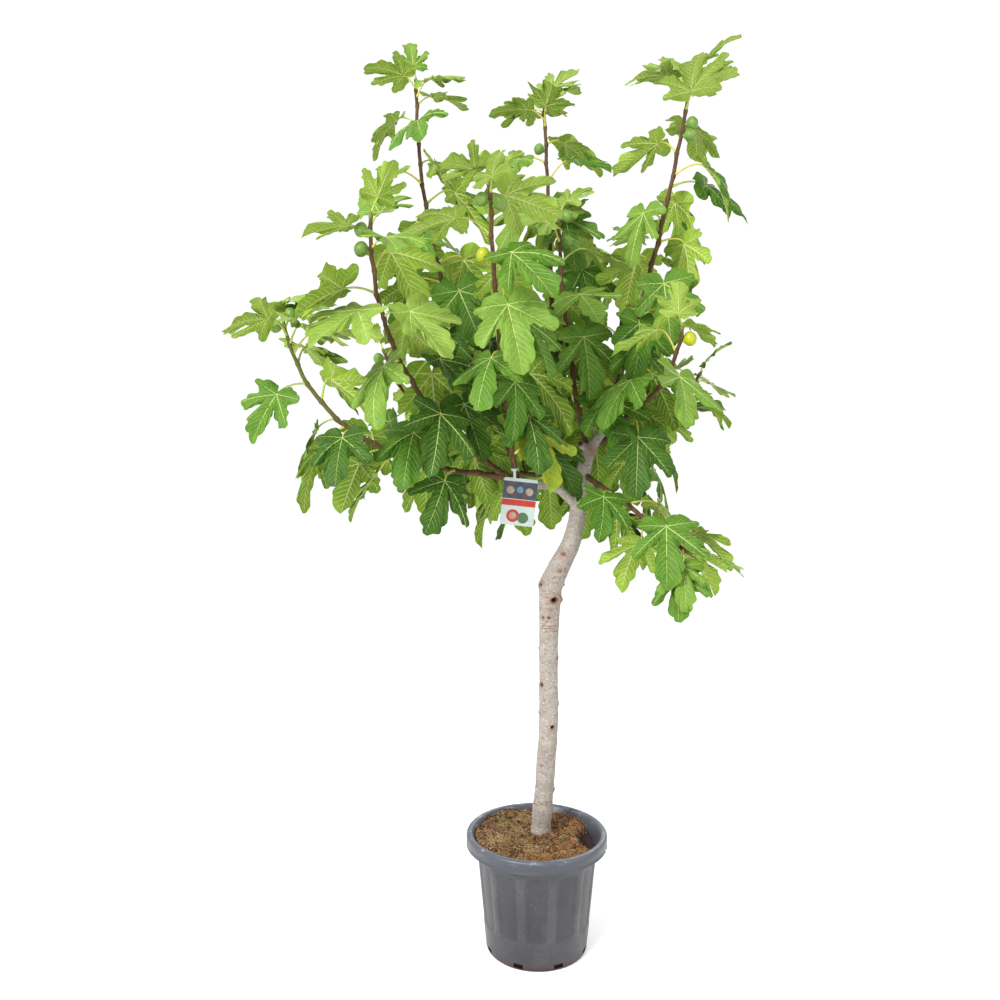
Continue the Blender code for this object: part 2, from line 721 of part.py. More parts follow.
def label_shapes(stem):
    """The label's ring, neck and card, and the view in front that stays free of leaves."""
    centre, radius = limb_spot(stem, LABEL_PLACE)
    axis = (stem.points[1] - stem.points[0]).normalized()
    inner = radius + STRAP_PLAY
    outer = inner + STRAP_THICK
    points, faces = band_shape(inner, outer, STRAP_WIDTH, STRAP_SIDES)
    seat = Matrix.Translation(centre) @ UP.rotation_difference(axis).to_matrix().to_4x4()
    ring = [seat @ point for point in points], faces
    front = centre.y - outer * LABEL_SEAT
    back = front + STRAP_THICK
    low = centre.z - LABEL_HANG
    neck = box_shape((centre.x - STRAP_WIDTH / 2, front, low - STRAP_WIDTH),
                     (centre.x + STRAP_WIDTH / 2, back, centre.z))
    middle = centre.x + LABEL_SHIFT
    lean = Matrix.Rotation(math.radians(LABEL_LEAN), 3, "Y")
    corner = Vector((middle - LABEL_WIDTH / 2, front - LABEL_THICK / 2, low - LABEL_HEIGHT))
    opposite = Vector((middle + LABEL_WIDTH / 2, front + LABEL_THICK / 2, low))
    top = Vector((middle, front, low))
    card = box_shape(corner, opposite, lean, top)
    sight = box_shape(corner - Vector((0, LABEL_SIGHT, 0)), opposite, lean, top)
    return ring, neck, card, sight


def build_label(shapes):
    """A thin card on a strap that rings the foot of the front shoot."""
    paper = plain_material("label_card", (0.55, 0.12, 0.08), 0.5)
    label, *others = [add_object("label", as_bmesh(shape), paper) for shape in shapes]
    for other in others:
        fuse = label.modifiers.new("fuse", "BOOLEAN")
        fuse.operation = "UNION"
        fuse.object = other
    freeze(label)
    for other in others:
        bpy.data.objects.remove(other)


def main():
    """Build the whole plant in its pot."""
    clear_scene()
    build_pot()
    build_soil()
    limbs = build_limbs()
    stems = {shoot.name: grow_stem(shoot, limbs) for shoot in SHOOTS}
    obstacles = Obstacles()
    obstacles.add(tube_shape(limbs["trunk"], TRUNK_SIDES, GAP))
    for name in BOUGHS:
        obstacles.add(tube_shape(limbs[name], BOUGH_SIDES, GAP))
    for name, stem in stems.items():
        obstacles.add(tube_shape(stem, STEM_SIDES, GAP), name)
    *label, sight = label_shapes(stems[LABEL_SHOOT])
    build_label(label)
    for shape in (*label, sight):
        obstacles.add(shape)
    figs = {shoot.name: grow_figs(shoot, stems[shoot.name]) for shoot in SHOOTS}
    for crop in figs.values():
        for fig in crop:
            obstacles.add(fig)
    for shoot in SHOOTS:
        stem = stems[shoot.name]
        leaves = grow_leaves(shoot, stem, obstacles)
        build_mass(shoot, stem, leaves, figs[shoot.name], limbs)


main()
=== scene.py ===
"""A fig tree in a pot, dressed: its bark, shoots, leaves, figs, pot, compost and label.

Metres, +Z up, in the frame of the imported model, looked at from the -Y side.
"""

import math
import random
from collections import namedtuple

import bmesh
import bpy
import numpy as np
from mathutils import Color, Matrix, Vector, noise
from mathutils.bvhtree import BVHTree


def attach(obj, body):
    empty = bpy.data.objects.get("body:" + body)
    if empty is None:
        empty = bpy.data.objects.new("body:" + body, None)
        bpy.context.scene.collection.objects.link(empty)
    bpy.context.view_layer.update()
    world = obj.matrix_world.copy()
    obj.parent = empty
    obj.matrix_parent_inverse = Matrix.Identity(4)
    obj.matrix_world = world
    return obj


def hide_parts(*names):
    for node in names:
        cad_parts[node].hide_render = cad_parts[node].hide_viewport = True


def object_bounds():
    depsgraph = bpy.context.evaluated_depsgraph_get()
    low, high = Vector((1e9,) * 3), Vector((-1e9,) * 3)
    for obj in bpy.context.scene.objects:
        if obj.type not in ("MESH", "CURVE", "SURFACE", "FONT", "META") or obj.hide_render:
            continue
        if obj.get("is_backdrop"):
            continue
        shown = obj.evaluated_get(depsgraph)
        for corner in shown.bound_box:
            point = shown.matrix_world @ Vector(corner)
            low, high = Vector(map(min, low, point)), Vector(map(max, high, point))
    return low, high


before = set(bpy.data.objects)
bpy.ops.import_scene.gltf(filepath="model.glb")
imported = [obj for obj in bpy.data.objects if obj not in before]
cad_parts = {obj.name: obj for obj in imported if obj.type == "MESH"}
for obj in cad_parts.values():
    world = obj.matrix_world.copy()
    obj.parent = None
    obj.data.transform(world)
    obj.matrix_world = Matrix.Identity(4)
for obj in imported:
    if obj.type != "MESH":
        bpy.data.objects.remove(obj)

TURN = 2 * math.pi
UP = Vector((0, 0, 1))
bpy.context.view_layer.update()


# The floor, the light and the camera
# White paper lies under the pot and fills the view, in even studio light with a soft
# key from the upper left. The camera stands at chest height and looks a little down.

CAMERA_PLACE = (-0.105, -2.47, 1.44)
CAMERA_PITCH = 3.65             # degrees below level
CAMERA_LENS = 31.86             # mm, on a sensor 36 mm wide
SENSOR = 36.0
FLOOR_HALF = 20.0
PAPER = ((0.985, 0.985, 0.985, 1), (1, 1, 1, 1))
SKY_STRENGTH = 1.04
PAINT_SHARE = 0.62              # of a photographed colour, as the key adds to the white surround
AIM = Vector((0, 0, 1.3))
LAMPS = (
    ("key", (-2.6, -3.4, 3.9), 2.2, 300.0),
    ("fill", (3.4, -2.6, 2.2), 2.8, 45.0),
    ("rim", (1.5, 3.6, 3.4), 2.4, 70.0),
)
MIX_FACTOR, MIX_FIRST, MIX_SECOND, MIX_RESULT = 0, 6, 7, 2      # a colour mix node's sockets


def tint(red, green, blue):
    """The paint that is photographed with these 0 to 255 values, as the shader takes it."""
    lit = Color((red / 255, green / 255, blue / 255)).from_srgb_to_scene_linear()
    return (*[share * PAINT_SHARE for share in lit], 1.0)


def wire(tree, kind, values=None, **settings):
    """Add a node with its settings, and set or link its inputs by name."""
    made = tree.nodes.new(kind)
    for key, value in settings.items():
        setattr(made, key, value)
    for key, value in (values or {}).items():
        if isinstance(value, bpy.types.NodeSocket):
            tree.links.new(value, made.inputs[key])
        else:
            made.inputs[key].default_value = value
    return made


def feed(tree, name, socket):
    """Link a socket to an input of the tree's shader."""
    tree.links.new(socket, tree.nodes["Principled BSDF"].inputs[name])


def coat(tree, colour, *layers):
    """Lay colours over a first one, each by its mask, as the finish's base colour."""
    for mask, over, *way in layers:
        ends = {MIX_FACTOR: mask, MIX_FIRST: colour, MIX_SECOND: over}
        mix = wire(tree, "ShaderNodeMix", ends, data_type="RGBA", blend_type=(*way, "MIX")[0])
        colour = mix.outputs[MIX_RESULT]
    feed(tree, "Base Color", colour)


def object_vector(tree, scale=(1, 1, 1)):
    """Object coordinates, stretched."""
    spots = wire(tree, "ShaderNodeTexCoord").outputs["Object"]
    return wire(tree, "ShaderNodeMapping", {"Vector": spots, "Scale": scale}).outputs[0]


def cloud(tree, vector, scale, **settings):
    """Soft noise on a vector."""
    return wire(tree, "ShaderNodeTexNoise", {"Vector": vector, "Scale": scale, **settings}).outputs[0]


def finish_named(name, colour=(1, 1, 1, 1), rough=0.5, gloss=0.5):
    """A new Principled finish, with its tree."""
    material = bpy.data.materials.new(name)
    material.use_nodes = True
    shader = material.node_tree.nodes["Principled BSDF"]
    shader.inputs["Base Color"].default_value = colour
    shader.inputs["Roughness"].default_value = rough
    shader.inputs["Specular IOR Level"].default_value = gloss
    material.diffuse_color = colour
    return material, material.node_tree


def into_scene(name, bm):
    """A bmesh as an object at the origin."""
    mesh = bpy.data.meshes.new(name)
    bm.to_mesh(mesh)
    bm.free()
    piece = bpy.data.objects.new(name, mesh)
    bpy.context.scene.collection.objects.link(piece)
    return piece


paper, tree = finish_named("white_paper", rough=0.9, gloss=0.1)
coat(tree, PAPER[0], (cloud(tree, object_vector(tree), 40.0), PAPER[1]))
sheet = bmesh.new()
bmesh.ops.create_grid(sheet, x_segments=1, y_segments=1, size=FLOOR_HALF)
floor = into_scene("floor", sheet)
floor.data.materials.append(paper)
floor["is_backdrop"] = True

world = bpy.data.worlds.new("studio")
world.use_nodes = True
sky = world.node_tree.nodes["Background"]
sky.inputs["Color"].default_value = (1, 1, 1, 1)
sky.inputs["Strength"].default_value = SKY_STRENGTH
bpy.context.scene.world = world
for name, place, width, power in LAMPS:
    lamp = bpy.data.lights.new(name, "AREA")
    lamp.shape = "DISK"
    lamp.size = width
    lamp.energy = power
    holder = bpy.data.objects.new(name, lamp)
    holder.location = place
    holder.rotation_euler = (AIM - Vector(place)).to_track_quat("-Z", "Y").to_euler()
    bpy.context.scene.collection.objects.link(holder)

lens = bpy.data.cameras.new("camera")
lens.lens = CAMERA_LENS
lens.sensor_width = SENSOR
camera = bpy.data.objects.new("camera", lens)
camera.location = CAMERA_PLACE
camera.rotation_euler = (math.radians(90 - CAMERA_PITCH), 0, 0)
bpy.context.scene.collection.objects.link(camera)
bpy.context.scene.camera = camera
bpy.context.scene.view_settings.view_transform = "Standard"


# The wood: the trunk and the boughs
# One pale, smooth-barked stem forks at shoulder height. Its limbs grow into each other
# at the fork, and the bark carries old bud scars, cut twigs, cracks and small pores.

SOIL_LEVEL = 0.309
GAP = 0.0003
LIMB_STEP = 0.055               # spacing of the rings that the shoots are rooted on
BARK_STEP = 0.012               # spacing of the rings of the bark
WOOD_SIDES = 20
WOOD_GRAIN = 0.0024             # size of the cells that the limbs are fused with
FOOT_SINK = 0.012               # how deep the stem goes into the compost
TRUNK = (
    (0.013, 0.045, SOIL_LEVEL + GAP, 0.0325),
    (0.019, 0.044, 0.380, 0.0275),
    (0.035, 0.040, 0.630, 0.0262),
    (0.034, 0.034, 0.830, 0.0260),
    (0.037, 0.026, 1.000, 0.0280),
    (0.045, 0.023, 1.055, 0.0300),
    (0.097, 0.014, 1.165, 0.0240),
    (0.115, 0.012, 1.260, 0.0225),
    (0.122, 0.012, 1.330, 0.0215),
)
BOUGHS = {
    "bough_right": (
        (0.121, 0.012, 1.318, 0.0200),
        (0.133, 0.012, 1.375, 0.0190),
        (0.145, 0.012, 1.420, 0.0178),
        (0.172, 0.010, 1.462, 0.0135),
        (0.208, 0.008, 1.494, 0.0095),
    ),
    "bough_left": (
        (0.119, 0.014, 1.292, 0.0150),
        (0.060, 0.045, 1.372, 0.0130),
        (-0.019, 0.080, 1.433, 0.0110),
        (-0.082, 0.100, 1.479, 0.0095),
    ),
    "bough_low_left": (
        (0.114, 0.010, 1.262, 0.0135),
        (0.055, -0.016, 1.314, 0.0115),
        (-0.010, -0.036, 1.328, 0.0100),
        (-0.105, -0.060, 1.352, 0.0085),
    ),
    "bough_back": (
        (0.117, 0.014, 1.278, 0.0140),
        (0.126, 0.090, 1.350, 0.0120),
        (0.140, 0.170, 1.410, 0.0105),
        (0.150, 0.240, 1.450, 0.0090),
    ),
}
# A sawn-off twig at the fork: the middle and the radius of its rings
STUB = (((0.128, 0.006, 1.432), 0.012), ((0.1203, -0.0094, 1.4376), 0.0105),
        ((0.117, -0.016, 1.440), 0.0085))
Limb = namedtuple("Limb", "points radii")

# Layers of relief in the bark: how far it goes in and out, the size of its lumps, how much
# flatter they are than wide, and a seed
BARK_RELIEF = ((0.0016, 0.045, 1, 1), (0.0008, 0.012, 1, 2), (0.0004, 0.005, 2.5, 3))
# Marks on the bark: the height, the way it faces in degrees from the front, its radius,
# how deep it dips, how far its lip stands out and how dark it is
Scar = namedtuple("Scar", "height turn size dip lip dark")
SCARS = (
    Scar(1.137, -20, 0.0110, 0.0006, 0.0014, 0.60),
    Scar(1.090, 10, 0.0090, 0.0006, 0.0012, 0.55),
    Scar(1.044, -62, 0.0100, 0.0012, 0.0034, 0.80),
    Scar(1.000, 22, 0.0142, 0.0130, 0.0036, 1.00),
    Scar(0.997, 62, 0.0170, -0.0066, 0.0000, 0.42),
    Scar(1.046, 80, 0.0075, -0.0046, 0.0000, 0.40),
    Scar(0.975, 5, 0.0120, 0.0004, 0.0010, 0.30),
    Scar(0.945, -40, 0.0065, 0.0024, 0.0014, 0.80),
    Scar(0.945, -5, 0.0070, 0.0024, 0.0016, 0.85),
    Scar(0.836, 58, 0.0085, -0.0020, 0.0016, 0.45),
    Scar(0.863, -80, 0.0100, -0.0034, 0.0000, 0.20),
    Scar(0.754, -52, 0.0092, 0.0080, 0.0030, 0.98),
    Scar(0.690, 85, 0.0140, -0.0028, 0.0000, 0.12),
    Scar(0.672, -75, 0.0120, -0.0034, 0.0000, 0.15),
    Scar(0.628, 22, 0.0088, 0.0078, 0.0026, 0.98),
    Scar(0.520, -30, 0.0065, 0.0005, 0.0010, 0.40),
    Scar(0.444, 80, 0.0110, -0.0044, 0.0000, 0.30),
    Scar(0.560, 150, 0.0095, 0.0070, 0.0028, 0.95),
    Scar(0.870, 200, 0.0100, 0.0080, 0.0030, 0.97),
    Scar(1.020, 165, 0.0090, 0.0015, 0.0024, 0.65),
)
SCAR_FLAT = 1.15                # how much wider a scar is than high
DIP_WIDTH = 0.62                # widths of a scar's parts, as shares of its radius
LIP_WIDTH = 0.45
STAIN_WIDTH = 0.75
HALO_WIDTH = 1.5
HALO_DARK = 0.35
STUB_DARK = 0.9
# Rings of cracked bark round the stem: height, half the arc they cover and its middle
CRACKS = (
    (0.924, 70, 5), (0.917, 55, -10), (0.909, 60, 15), (1.012, 60, 0), (0.938, 40, -15),
    (0.955, 30, 10), (0.407, 150, 0), (0.400, 110, -20), (1.066, 40, 20),
)
CRACK_SWAY = 0.0016
CRACK_RAGGED = 0.0030
CRACK_WIDTH = 0.0019
CRACK_DEPTH = 0.0008
CRACK_FADE = 15                 # degrees over which its ends die out
CRACK_DARK = 0.56
# How much the bark adds to the limb's radius, by height: a step at the graft, a bulge at
# the bend
GIRTH = (
    (0.300, -0.0034), (0.330, -0.0024), (0.360, 0.0008), (0.398, 0.0020), (0.408, 0.0002),
    (0.500, 0.0014), (0.950, 0.0016), (1.030, 0.0042), (1.090, 0.0018), (1.200, 0.0010),
    (1.300, 0),
)
# Knots on the boughs: their middle, their size and how far they stand out
KNOTS = (((0.082, 0.018, 1.346), 0.016, 0.0060), ((0.150, 0.004, 1.418), 0.020, 0.0030))
KNOT_DARK = 0.4


def glide(before, start, stop, after, t):
    """The place at a share t of the way from start to stop, on a smooth line through all four."""
    return 0.5 * (
        start * 2
        + (stop - before) * t
        + (before * 2 - start * 5 + stop * 4 - after) * t ** 2
        + (start * 3 - before - stop * 3 + after) * t ** 3
    )


def through(stations, step):
    """A smooth limb through its stations, with rings a set distance apart."""
    points, radii = [], []
    rows = [Vector(station) for station in stations]
    ends = [rows[0] * 2 - rows[1], *rows, rows[-1] * 2 - rows[-2]]
    for before, start, stop, after in zip(ends, ends[1:], ends[2:], ends[3:]):
        steps = max(1, round((stop - start).length / step))
        for count in range(steps):
            spot = glide(before, start, stop, after, count / steps)
            points.append(spot.to_3d())
            radii.append(spot[3])
    points.append(rows[-1].to_3d())
    radii.append(rows[-1][3])
    return Limb(points, radii)


def limb_spot(limb, place):
    """The point and radius at a share of a limb's length."""
    index = place * (len(limb.points) - 1)
    low = min(int(index), len(limb.points) - 2)
    t = index - low
    point = limb.points[low].lerp(limb.points[low + 1], t)
    return point, limb.radii[low] * (1 - t) + limb.radii[low + 1] * t


def pipe(bm, points, radii, sides):
    """Extrude a ring along a path, to a radius at each of its points, and close its ends."""
    side = (points[1] - points[0]).orthogonal().normalized()
    place = None
    for index, centre in enumerate(points):
        along = points[min(index + 1, len(points) - 1)] - points[max(index - 1, 0)]
        along.normalize()
        side = (side - along * side.dot(along)).normalized()
        radius = radii[index]
        seat = Matrix((side * radius, along.cross(side) * radius, along * radius))
        seat = Matrix.Translation(centre) @ seat.transposed().to_4x4()
        if place is None:
            made = bmesh.ops.create_circle(bm, segments=sides, radius=1, matrix=seat)
            ring = list({edge for vert in made["verts"] for edge in vert.link_edges})
            bmesh.ops.contextual_create(bm, geom=ring)
        else:
            made = bmesh.ops.extrude_edge_only(bm, edges=ring)["geom"]
            ring = [part for part in made if isinstance(part, bmesh.types.BMEdge)
                    and len(part.link_faces) == 1]
            verts = list({vert for edge in ring for vert in edge.verts})
            bmesh.ops.transform(bm, matrix=seat @ place.inverted(), verts=verts)
        place = seat
    bmesh.ops.contextual_create(bm, geom=ring)


def apply_modifiers(piece):
    """Make a piece's modifiers part of its mesh."""
    graph = bpy.context.evaluated_depsgraph_get()
    mesh = bpy.data.meshes.new_from_object(piece.evaluated_get(graph))
    spent = piece.data
    piece.modifiers.clear()
    piece.data = mesh
    bpy.data.meshes.remove(spent)


def mesh_arrays(mesh):
    """A mesh's vertex places and normals, as arrays."""
    places = np.empty(len(mesh.vertices) * 3)
    normals = np.empty(len(mesh.vertices) * 3)
    mesh.vertices.foreach_get("co", places)
    mesh.vertices.foreach_get("normal", normals)
    return places.reshape(-1, 3), normals.reshape(-1, 3)


def set_mark(piece, name, values):
    """Keep a number for each vertex of a piece, for its finish to read."""
    piece.data.attributes.new(name, "FLOAT", "POINT").data.foreach_set("value", values)


def rough_noise(places, size, seed):
    """Smooth noise between -1 and 1 at each place, with lumps of about a size."""
    shift = Vector((seed * 7.1, seed * 3.3, seed * 5.7))
    return np.array([noise.noise(Vector(place) / size + shift) for place in places])


def bell(far, width, power=2):
    """A swelling of height 1 in its middle, which fades over a width."""
    return np.exp(-(far / width) ** power)


limbs = {"trunk": through(TRUNK, LIMB_STEP)}
for name, stations in BOUGHS.items():
    limbs[name] = through(stations, LIMB_STEP)

column = through(TRUNK, BARK_STEP)
wood = bmesh.new()
foot = Vector((TRUNK[0][0], TRUNK[0][1], SOIL_LEVEL - FOOT_SINK))
pipe(wood, [foot, *column.points], [TRUNK[0][3], *column.radii], WOOD_SIDES * 2)
for stations in BOUGHS.values():
    bough = through(stations, BARK_STEP)
    pipe(wood, bough.points, bough.radii, WOOD_SIDES)
pipe(wood, [Vector(middle) for middle, _ in STUB], [radius for _, radius in STUB], WOOD_SIDES)
bmesh.ops.recalc_face_normals(wood, faces=wood.faces)
bark = into_scene("bark", wood)
fuse = bark.modifiers.new("fuse", "REMESH")
fuse.mode = "VOXEL"
fuse.voxel_size = WOOD_GRAIN
settle = bark.modifiers.new("settle", "SMOOTH")
settle.factor = 0.5
settle.iterations = 4
apply_modifiers(bark)

places, normals = mesh_arrays(bark.data)
middles = np.array([point[:] for point in column.points])
stain = np.zeros(len(places))
lift = np.interp(places[:, 2], *zip(*GIRTH))
for depth, size, flatter, seed in BARK_RELIEF:
    lift += depth * rough_noise(places * (1, 1, flatter), size, seed)
for middle, size, out in KNOTS:
    near = bell(np.linalg.norm(places - np.array(middle), axis=1), size)
    lift += out * near
    stain = np.maximum(stain, KNOT_DARK * near)
for scar in SCARS:
    ring = np.argmin(np.abs(middles[:, 2] - scar.height))
    turn = math.radians(scar.turn)
    spot = middles[ring] + np.array((math.sin(turn), -math.cos(turn), 0)) * column.radii[ring]
    far = np.linalg.norm((places - spot) * (1, 1, SCAR_FLAT), axis=1)
    lift -= scar.dip * bell(far, scar.size * DIP_WIDTH)
    lift += scar.lip * bell(far - scar.size, scar.size * LIP_WIDTH)
    stain = np.maximum(stain, scar.dark * bell(far, scar.size * STAIN_WIDTH, 4))
    stain = np.maximum(stain, HALO_DARK * scar.dark * bell(far, scar.size * HALO_WIDTH))
crack = np.zeros(len(places))
ragged = rough_noise(places, 0.010, 4)
broken = np.clip(0.75 + rough_noise(places * (1, 1, 3), 0.009, 5) * 2.2, 0, 1)
for height, half_arc, facing in CRACKS:
    middle = middles[np.argmin(np.abs(middles[:, 2] - height))]
    turns = np.degrees(np.arctan2(places[:, 0] - middle[0], middle[1] - places[:, 1])) - facing
    wander = height + CRACK_SWAY * np.sin(np.radians(turns) * 3 + height * 50)
    line = bell(places[:, 2] - wander - ragged * CRACK_RAGGED, CRACK_WIDTH)
    line *= np.clip((half_arc - np.abs(turns)) / CRACK_FADE, 0, 1) * broken
    crack = np.maximum(crack, line)
lift -= CRACK_DEPTH * crack
stain = np.maximum(stain, CRACK_DARK * crack)
cut_middle, cut_radius = STUB[-1]
cut = np.linalg.norm(places - np.array(cut_middle), axis=1)
stain = np.maximum(stain, STUB_DARK * bell(cut, cut_radius, 4))
bark.data.vertices.foreach_set("co", (places + normals * lift[:, None]).ravel())
set_mark(bark, "stain", stain)
bark.data.shade_smooth()


def mask_group(name, *numbers):
    """A node group that makes a mask from a vector and some numbers, with its two ends."""
    group = bpy.data.node_groups.new(name, "ShaderNodeTree")
    group.interface.new_socket("Vector", in_out="INPUT", socket_type="NodeSocketVector")
    for label in numbers:
        group.interface.new_socket(label, in_out="INPUT", socket_type="NodeSocketFloat")
    group.interface.new_socket("Mask", in_out="OUTPUT", socket_type="NodeSocketFloat")
    given = group.nodes.new("NodeGroupInput").outputs
    return group, given, group.nodes.new("NodeGroupOutput").inputs["Mask"]


def masked(tree, group, vector, **values):
    """The mask that a group gives on a vector."""
    made = wire(tree, "ShaderNodeGroup", node_tree=group)
    tree.links.new(vector, made.inputs["Vector"])
    for key, value in values.items():
        made.inputs[key].default_value = value
    return made.outputs["Mask"]


def ramp(tree, value, start, stop, top=1.0):
    """A mask that climbs from 0 to a top while a value goes from a start to a stop."""
    return wire(tree, "ShaderNodeMapRange", {
        "Value": value, "From Min": start, "From Max": stop, "To Max": top}).outputs[0]


def both(tree, first, second):
    """The mask where two masks meet."""
    return wire(tree, "ShaderNodeMath", {0: first, 1: second}, operation="MULTIPLY").outputs[0]


def marked(tree, name):
    """The numbers kept for a piece's vertices under a name."""
    return wire(tree, "ShaderNodeAttribute", attribute_name=name).outputs["Fac"]


def bump(tree, height, distance, strength=1.0):
    """Relief from a height, into the tree's shader."""
    made = wire(tree, "ShaderNodeBump", {"Height": height, "Distance": distance, "Strength": strength})
    feed(tree, "Normal", made.outputs[0])


# Specks dealt at random over a surface, for pores, dust and pale spots
specks, given, mask = mask_group("specks", "Scale", "Size", "Share")
cells = wire(specks, "ShaderNodeTexVoronoi", {"Vector": given["Vector"], "Scale": given["Scale"]})
near = wire(specks, "ShaderNodeMapRange", {
    "Value": cells.outputs["Distance"], "From Min": given["Size"], "From Max": 0.0},
    interpolation_type="SMOOTHSTEP")
pick = wire(specks, "ShaderNodeSeparateColor", {"Color": cells.outputs["Color"]})
chosen = wire(specks, "ShaderNodeMath", {0: pick.outputs[0], 1: given["Share"]},
              operation="LESS_THAN")
specks.links.new(both(specks, near.outputs[0], chosen.outputs[0]), mask)

# Soft patches, for weathering and dust
patches, given, mask = mask_group("patches", "Scale", "Low", "High")
drifts = cloud(patches, given["Vector"], given["Scale"], Detail=5.0, Roughness=0.6)
patches.links.new(ramp(patches, drifts, given["Low"], given["High"]), mask)

pale_bark, tree = finish_named("pale_bark", tint(186, 176, 167), 0.85, 0.15)
flat = object_vector(tree, (1, 1, 1.7))
round_spots = object_vector(tree, (1, 1, 1.3))
worn = marked(tree, "stain")
coat(
    tree, tint(200, 191, 182),
    (masked(tree, patches, flat, Scale=22.0, Low=0.35, High=0.70), tint(174, 163, 152)),
    (masked(tree, patches, flat, Scale=95.0, Low=0.50, High=0.70), tint(150, 138, 127)),
    (masked(tree, specks, flat, Scale=290.0, Size=0.46, Share=0.60), tint(112, 97, 88)),
    (masked(tree, specks, round_spots, Scale=115.0, Size=0.34, Share=0.40), tint(255, 252, 246)),
    (ramp(tree, worn, 0.0, 0.45, 0.85), tint(150, 112, 90)),
    (ramp(tree, worn, 0.45, 0.95), tint(44, 30, 24)),
)
bump(tree, cloud(tree, flat, 240.0, Detail=4.0), 0.0010)
bark.data.materials.append(pale_bark)
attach(bark, "root")
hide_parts("trunk", *BOUGHS)


# The pot
# A moulded nursery pot of dark recycled plastic, dull with dust. Its collar turns down
# in a rounded bead, shallow flutes run down the side, and slots drain it at the foot.

POT_HEIGHT = 0.335
POT_FOOT = 0.144
POT_NECK = 0.1765
POT_WALL = 0.003
POT_SIDES = 192
POT_EDGE = 38                   # degrees past which an edge stays sharp
FOOT_RISE = 0.0035              # how far the middle of the underside is raised
FLOOR_THICK = 0.006
WALL_LOW = 0.008                # between these heights the wall has rings for its flutes
WALL_HIGH = 0.296
WALL_RINGS = 44
COLLAR = 0.2010
COLLAR_DROP = 0.036
COLLAR_ROUND = 0.009
COLLAR_LOW = POT_HEIGHT - COLLAR_DROP
RIM_INSIDE = 0.184              # radius of the mouth
FLARE_FOOT = 0.297              # height at which the wall begins to lean out to it
FLUTES = 12
FLUTE_TURN = -2                 # degrees from the front to the middle of a flute
FLUTE_DEPTH = 0.0032
FLUTE_LOW = 0.078
FLUTE_HIGH = 0.280
FLUTE_HALF = 0.40               # half a flute's width, as a share of the spacing
FLUTE_SLOPE = 0.07              # the same, of the slope at its side
FLUTE_ARCH = 0.012              # how far its ends are rounded
FLUTE_END = 0.010               # length of the slope at its ends
SLOTS = 8
SLOT_WIDTH = 0.027
SLOT_HEIGHT = 0.013
SLOT_SILL = 0.006
SLOT_CUT = 0.02
NOTCH_TURN = 74                 # where the collar's edge is torn, in degrees from the front
NOTCH_TILT = 35
NOTCH_SIZE = (0.013, 0.012, 0.009)


def arc(centre_out, centre_up, radius, start, stop, steps):
    """Points of an arc in a turned profile, by its angles in degrees from straight out."""
    points = []
    for step in range(steps + 1):
        turn = math.radians(start + (stop - start) * step / steps)
        points.append((centre_out + radius * math.cos(turn), centre_up + radius * math.sin(turn)))
    return points


def turned(profile, sides):
    """A closed solid turned from a profile that starts and ends on the Z axis."""
    bm = bmesh.new()
    chain = [bm.verts.new((out, 0, up)) for out, up in profile]
    edges = [bm.edges.new(pair) for pair in zip(chain, chain[1:])]
    bmesh.ops.spin(bm, geom=chain + edges, cent=(0, 0, 0), axis=UP, angle=TURN,
                   steps=sides, use_merge=True, use_duplicate=False)
    bmesh.ops.remove_doubles(bm, verts=bm.verts, dist=0.00001)
    bmesh.ops.recalc_face_normals(bm, faces=bm.faces)
    return bm


def side_radius(height):
    """The outside of the pot's wall at a height."""
    return POT_FOOT + (POT_NECK - POT_FOOT) * height / POT_HEIGHT


def inner_radius(height):
    """The inside of the pot's wall at a height, flared under the collar."""
    flare = max(0, height - FLARE_FOOT) / (POT_HEIGHT - FLARE_FOOT)
    straight = side_radius(height) - POT_WALL - FLUTE_DEPTH
    return straight * (1 - flare) + RIM_INSIDE * flare


def climb(value, start, length):
    """A share that goes from 0 to 1 as a value passes a start and a length beyond it."""
    return np.clip((value - start) / length, 0, 1)


lip_out, lip_up = COLLAR - COLLAR_ROUND, POT_HEIGHT - COLLAR_ROUND
underside = [
    (0, FOOT_RISE), (POT_FOOT - 0.030, FOOT_RISE), (POT_FOOT - 0.026, 0), (POT_FOOT - 0.006, 0),
    (POT_FOOT - 0.0018, 0.0018),
]
wall = [(side_radius(height), height) for height in np.linspace(WALL_LOW, WALL_HIGH, WALL_RINGS + 1)]
collar = [
    (RIM_INSIDE + POT_WALL, POT_HEIGHT - POT_WALL * 2.5), (lip_out - POT_WALL, POT_HEIGHT - POT_WALL),
    *arc(lip_out, lip_up, COLLAR_ROUND - POT_WALL, 70, 0, 4),
    (COLLAR - POT_WALL, COLLAR_LOW + 0.002),
    *arc(COLLAR - POT_WALL / 2, COLLAR_LOW + POT_WALL / 2, POT_WALL / 2, 180, 360, 6),
    (COLLAR - 0.0016, COLLAR_LOW + 0.005), (COLLAR - 0.0020, COLLAR_LOW + 0.014),
    (COLLAR - 0.0002, COLLAR_LOW + 0.0175), (COLLAR, COLLAR_LOW + 0.021),
    *arc(lip_out, lip_up, COLLAR_ROUND, 0, 90, 8),
    (RIM_INSIDE + 0.003, POT_HEIGHT - 0.0002), (RIM_INSIDE + 0.001, POT_HEIGHT - 0.0015),
]
inside = [(inner_radius(height), height)
          for height in (POT_HEIGHT - 0.006, FLARE_FOOT, 0.2, FLOOR_THICK)]
shell = turned([*underside, *wall, *collar, *inside, (0, FLOOR_THICK)], POT_SIDES)
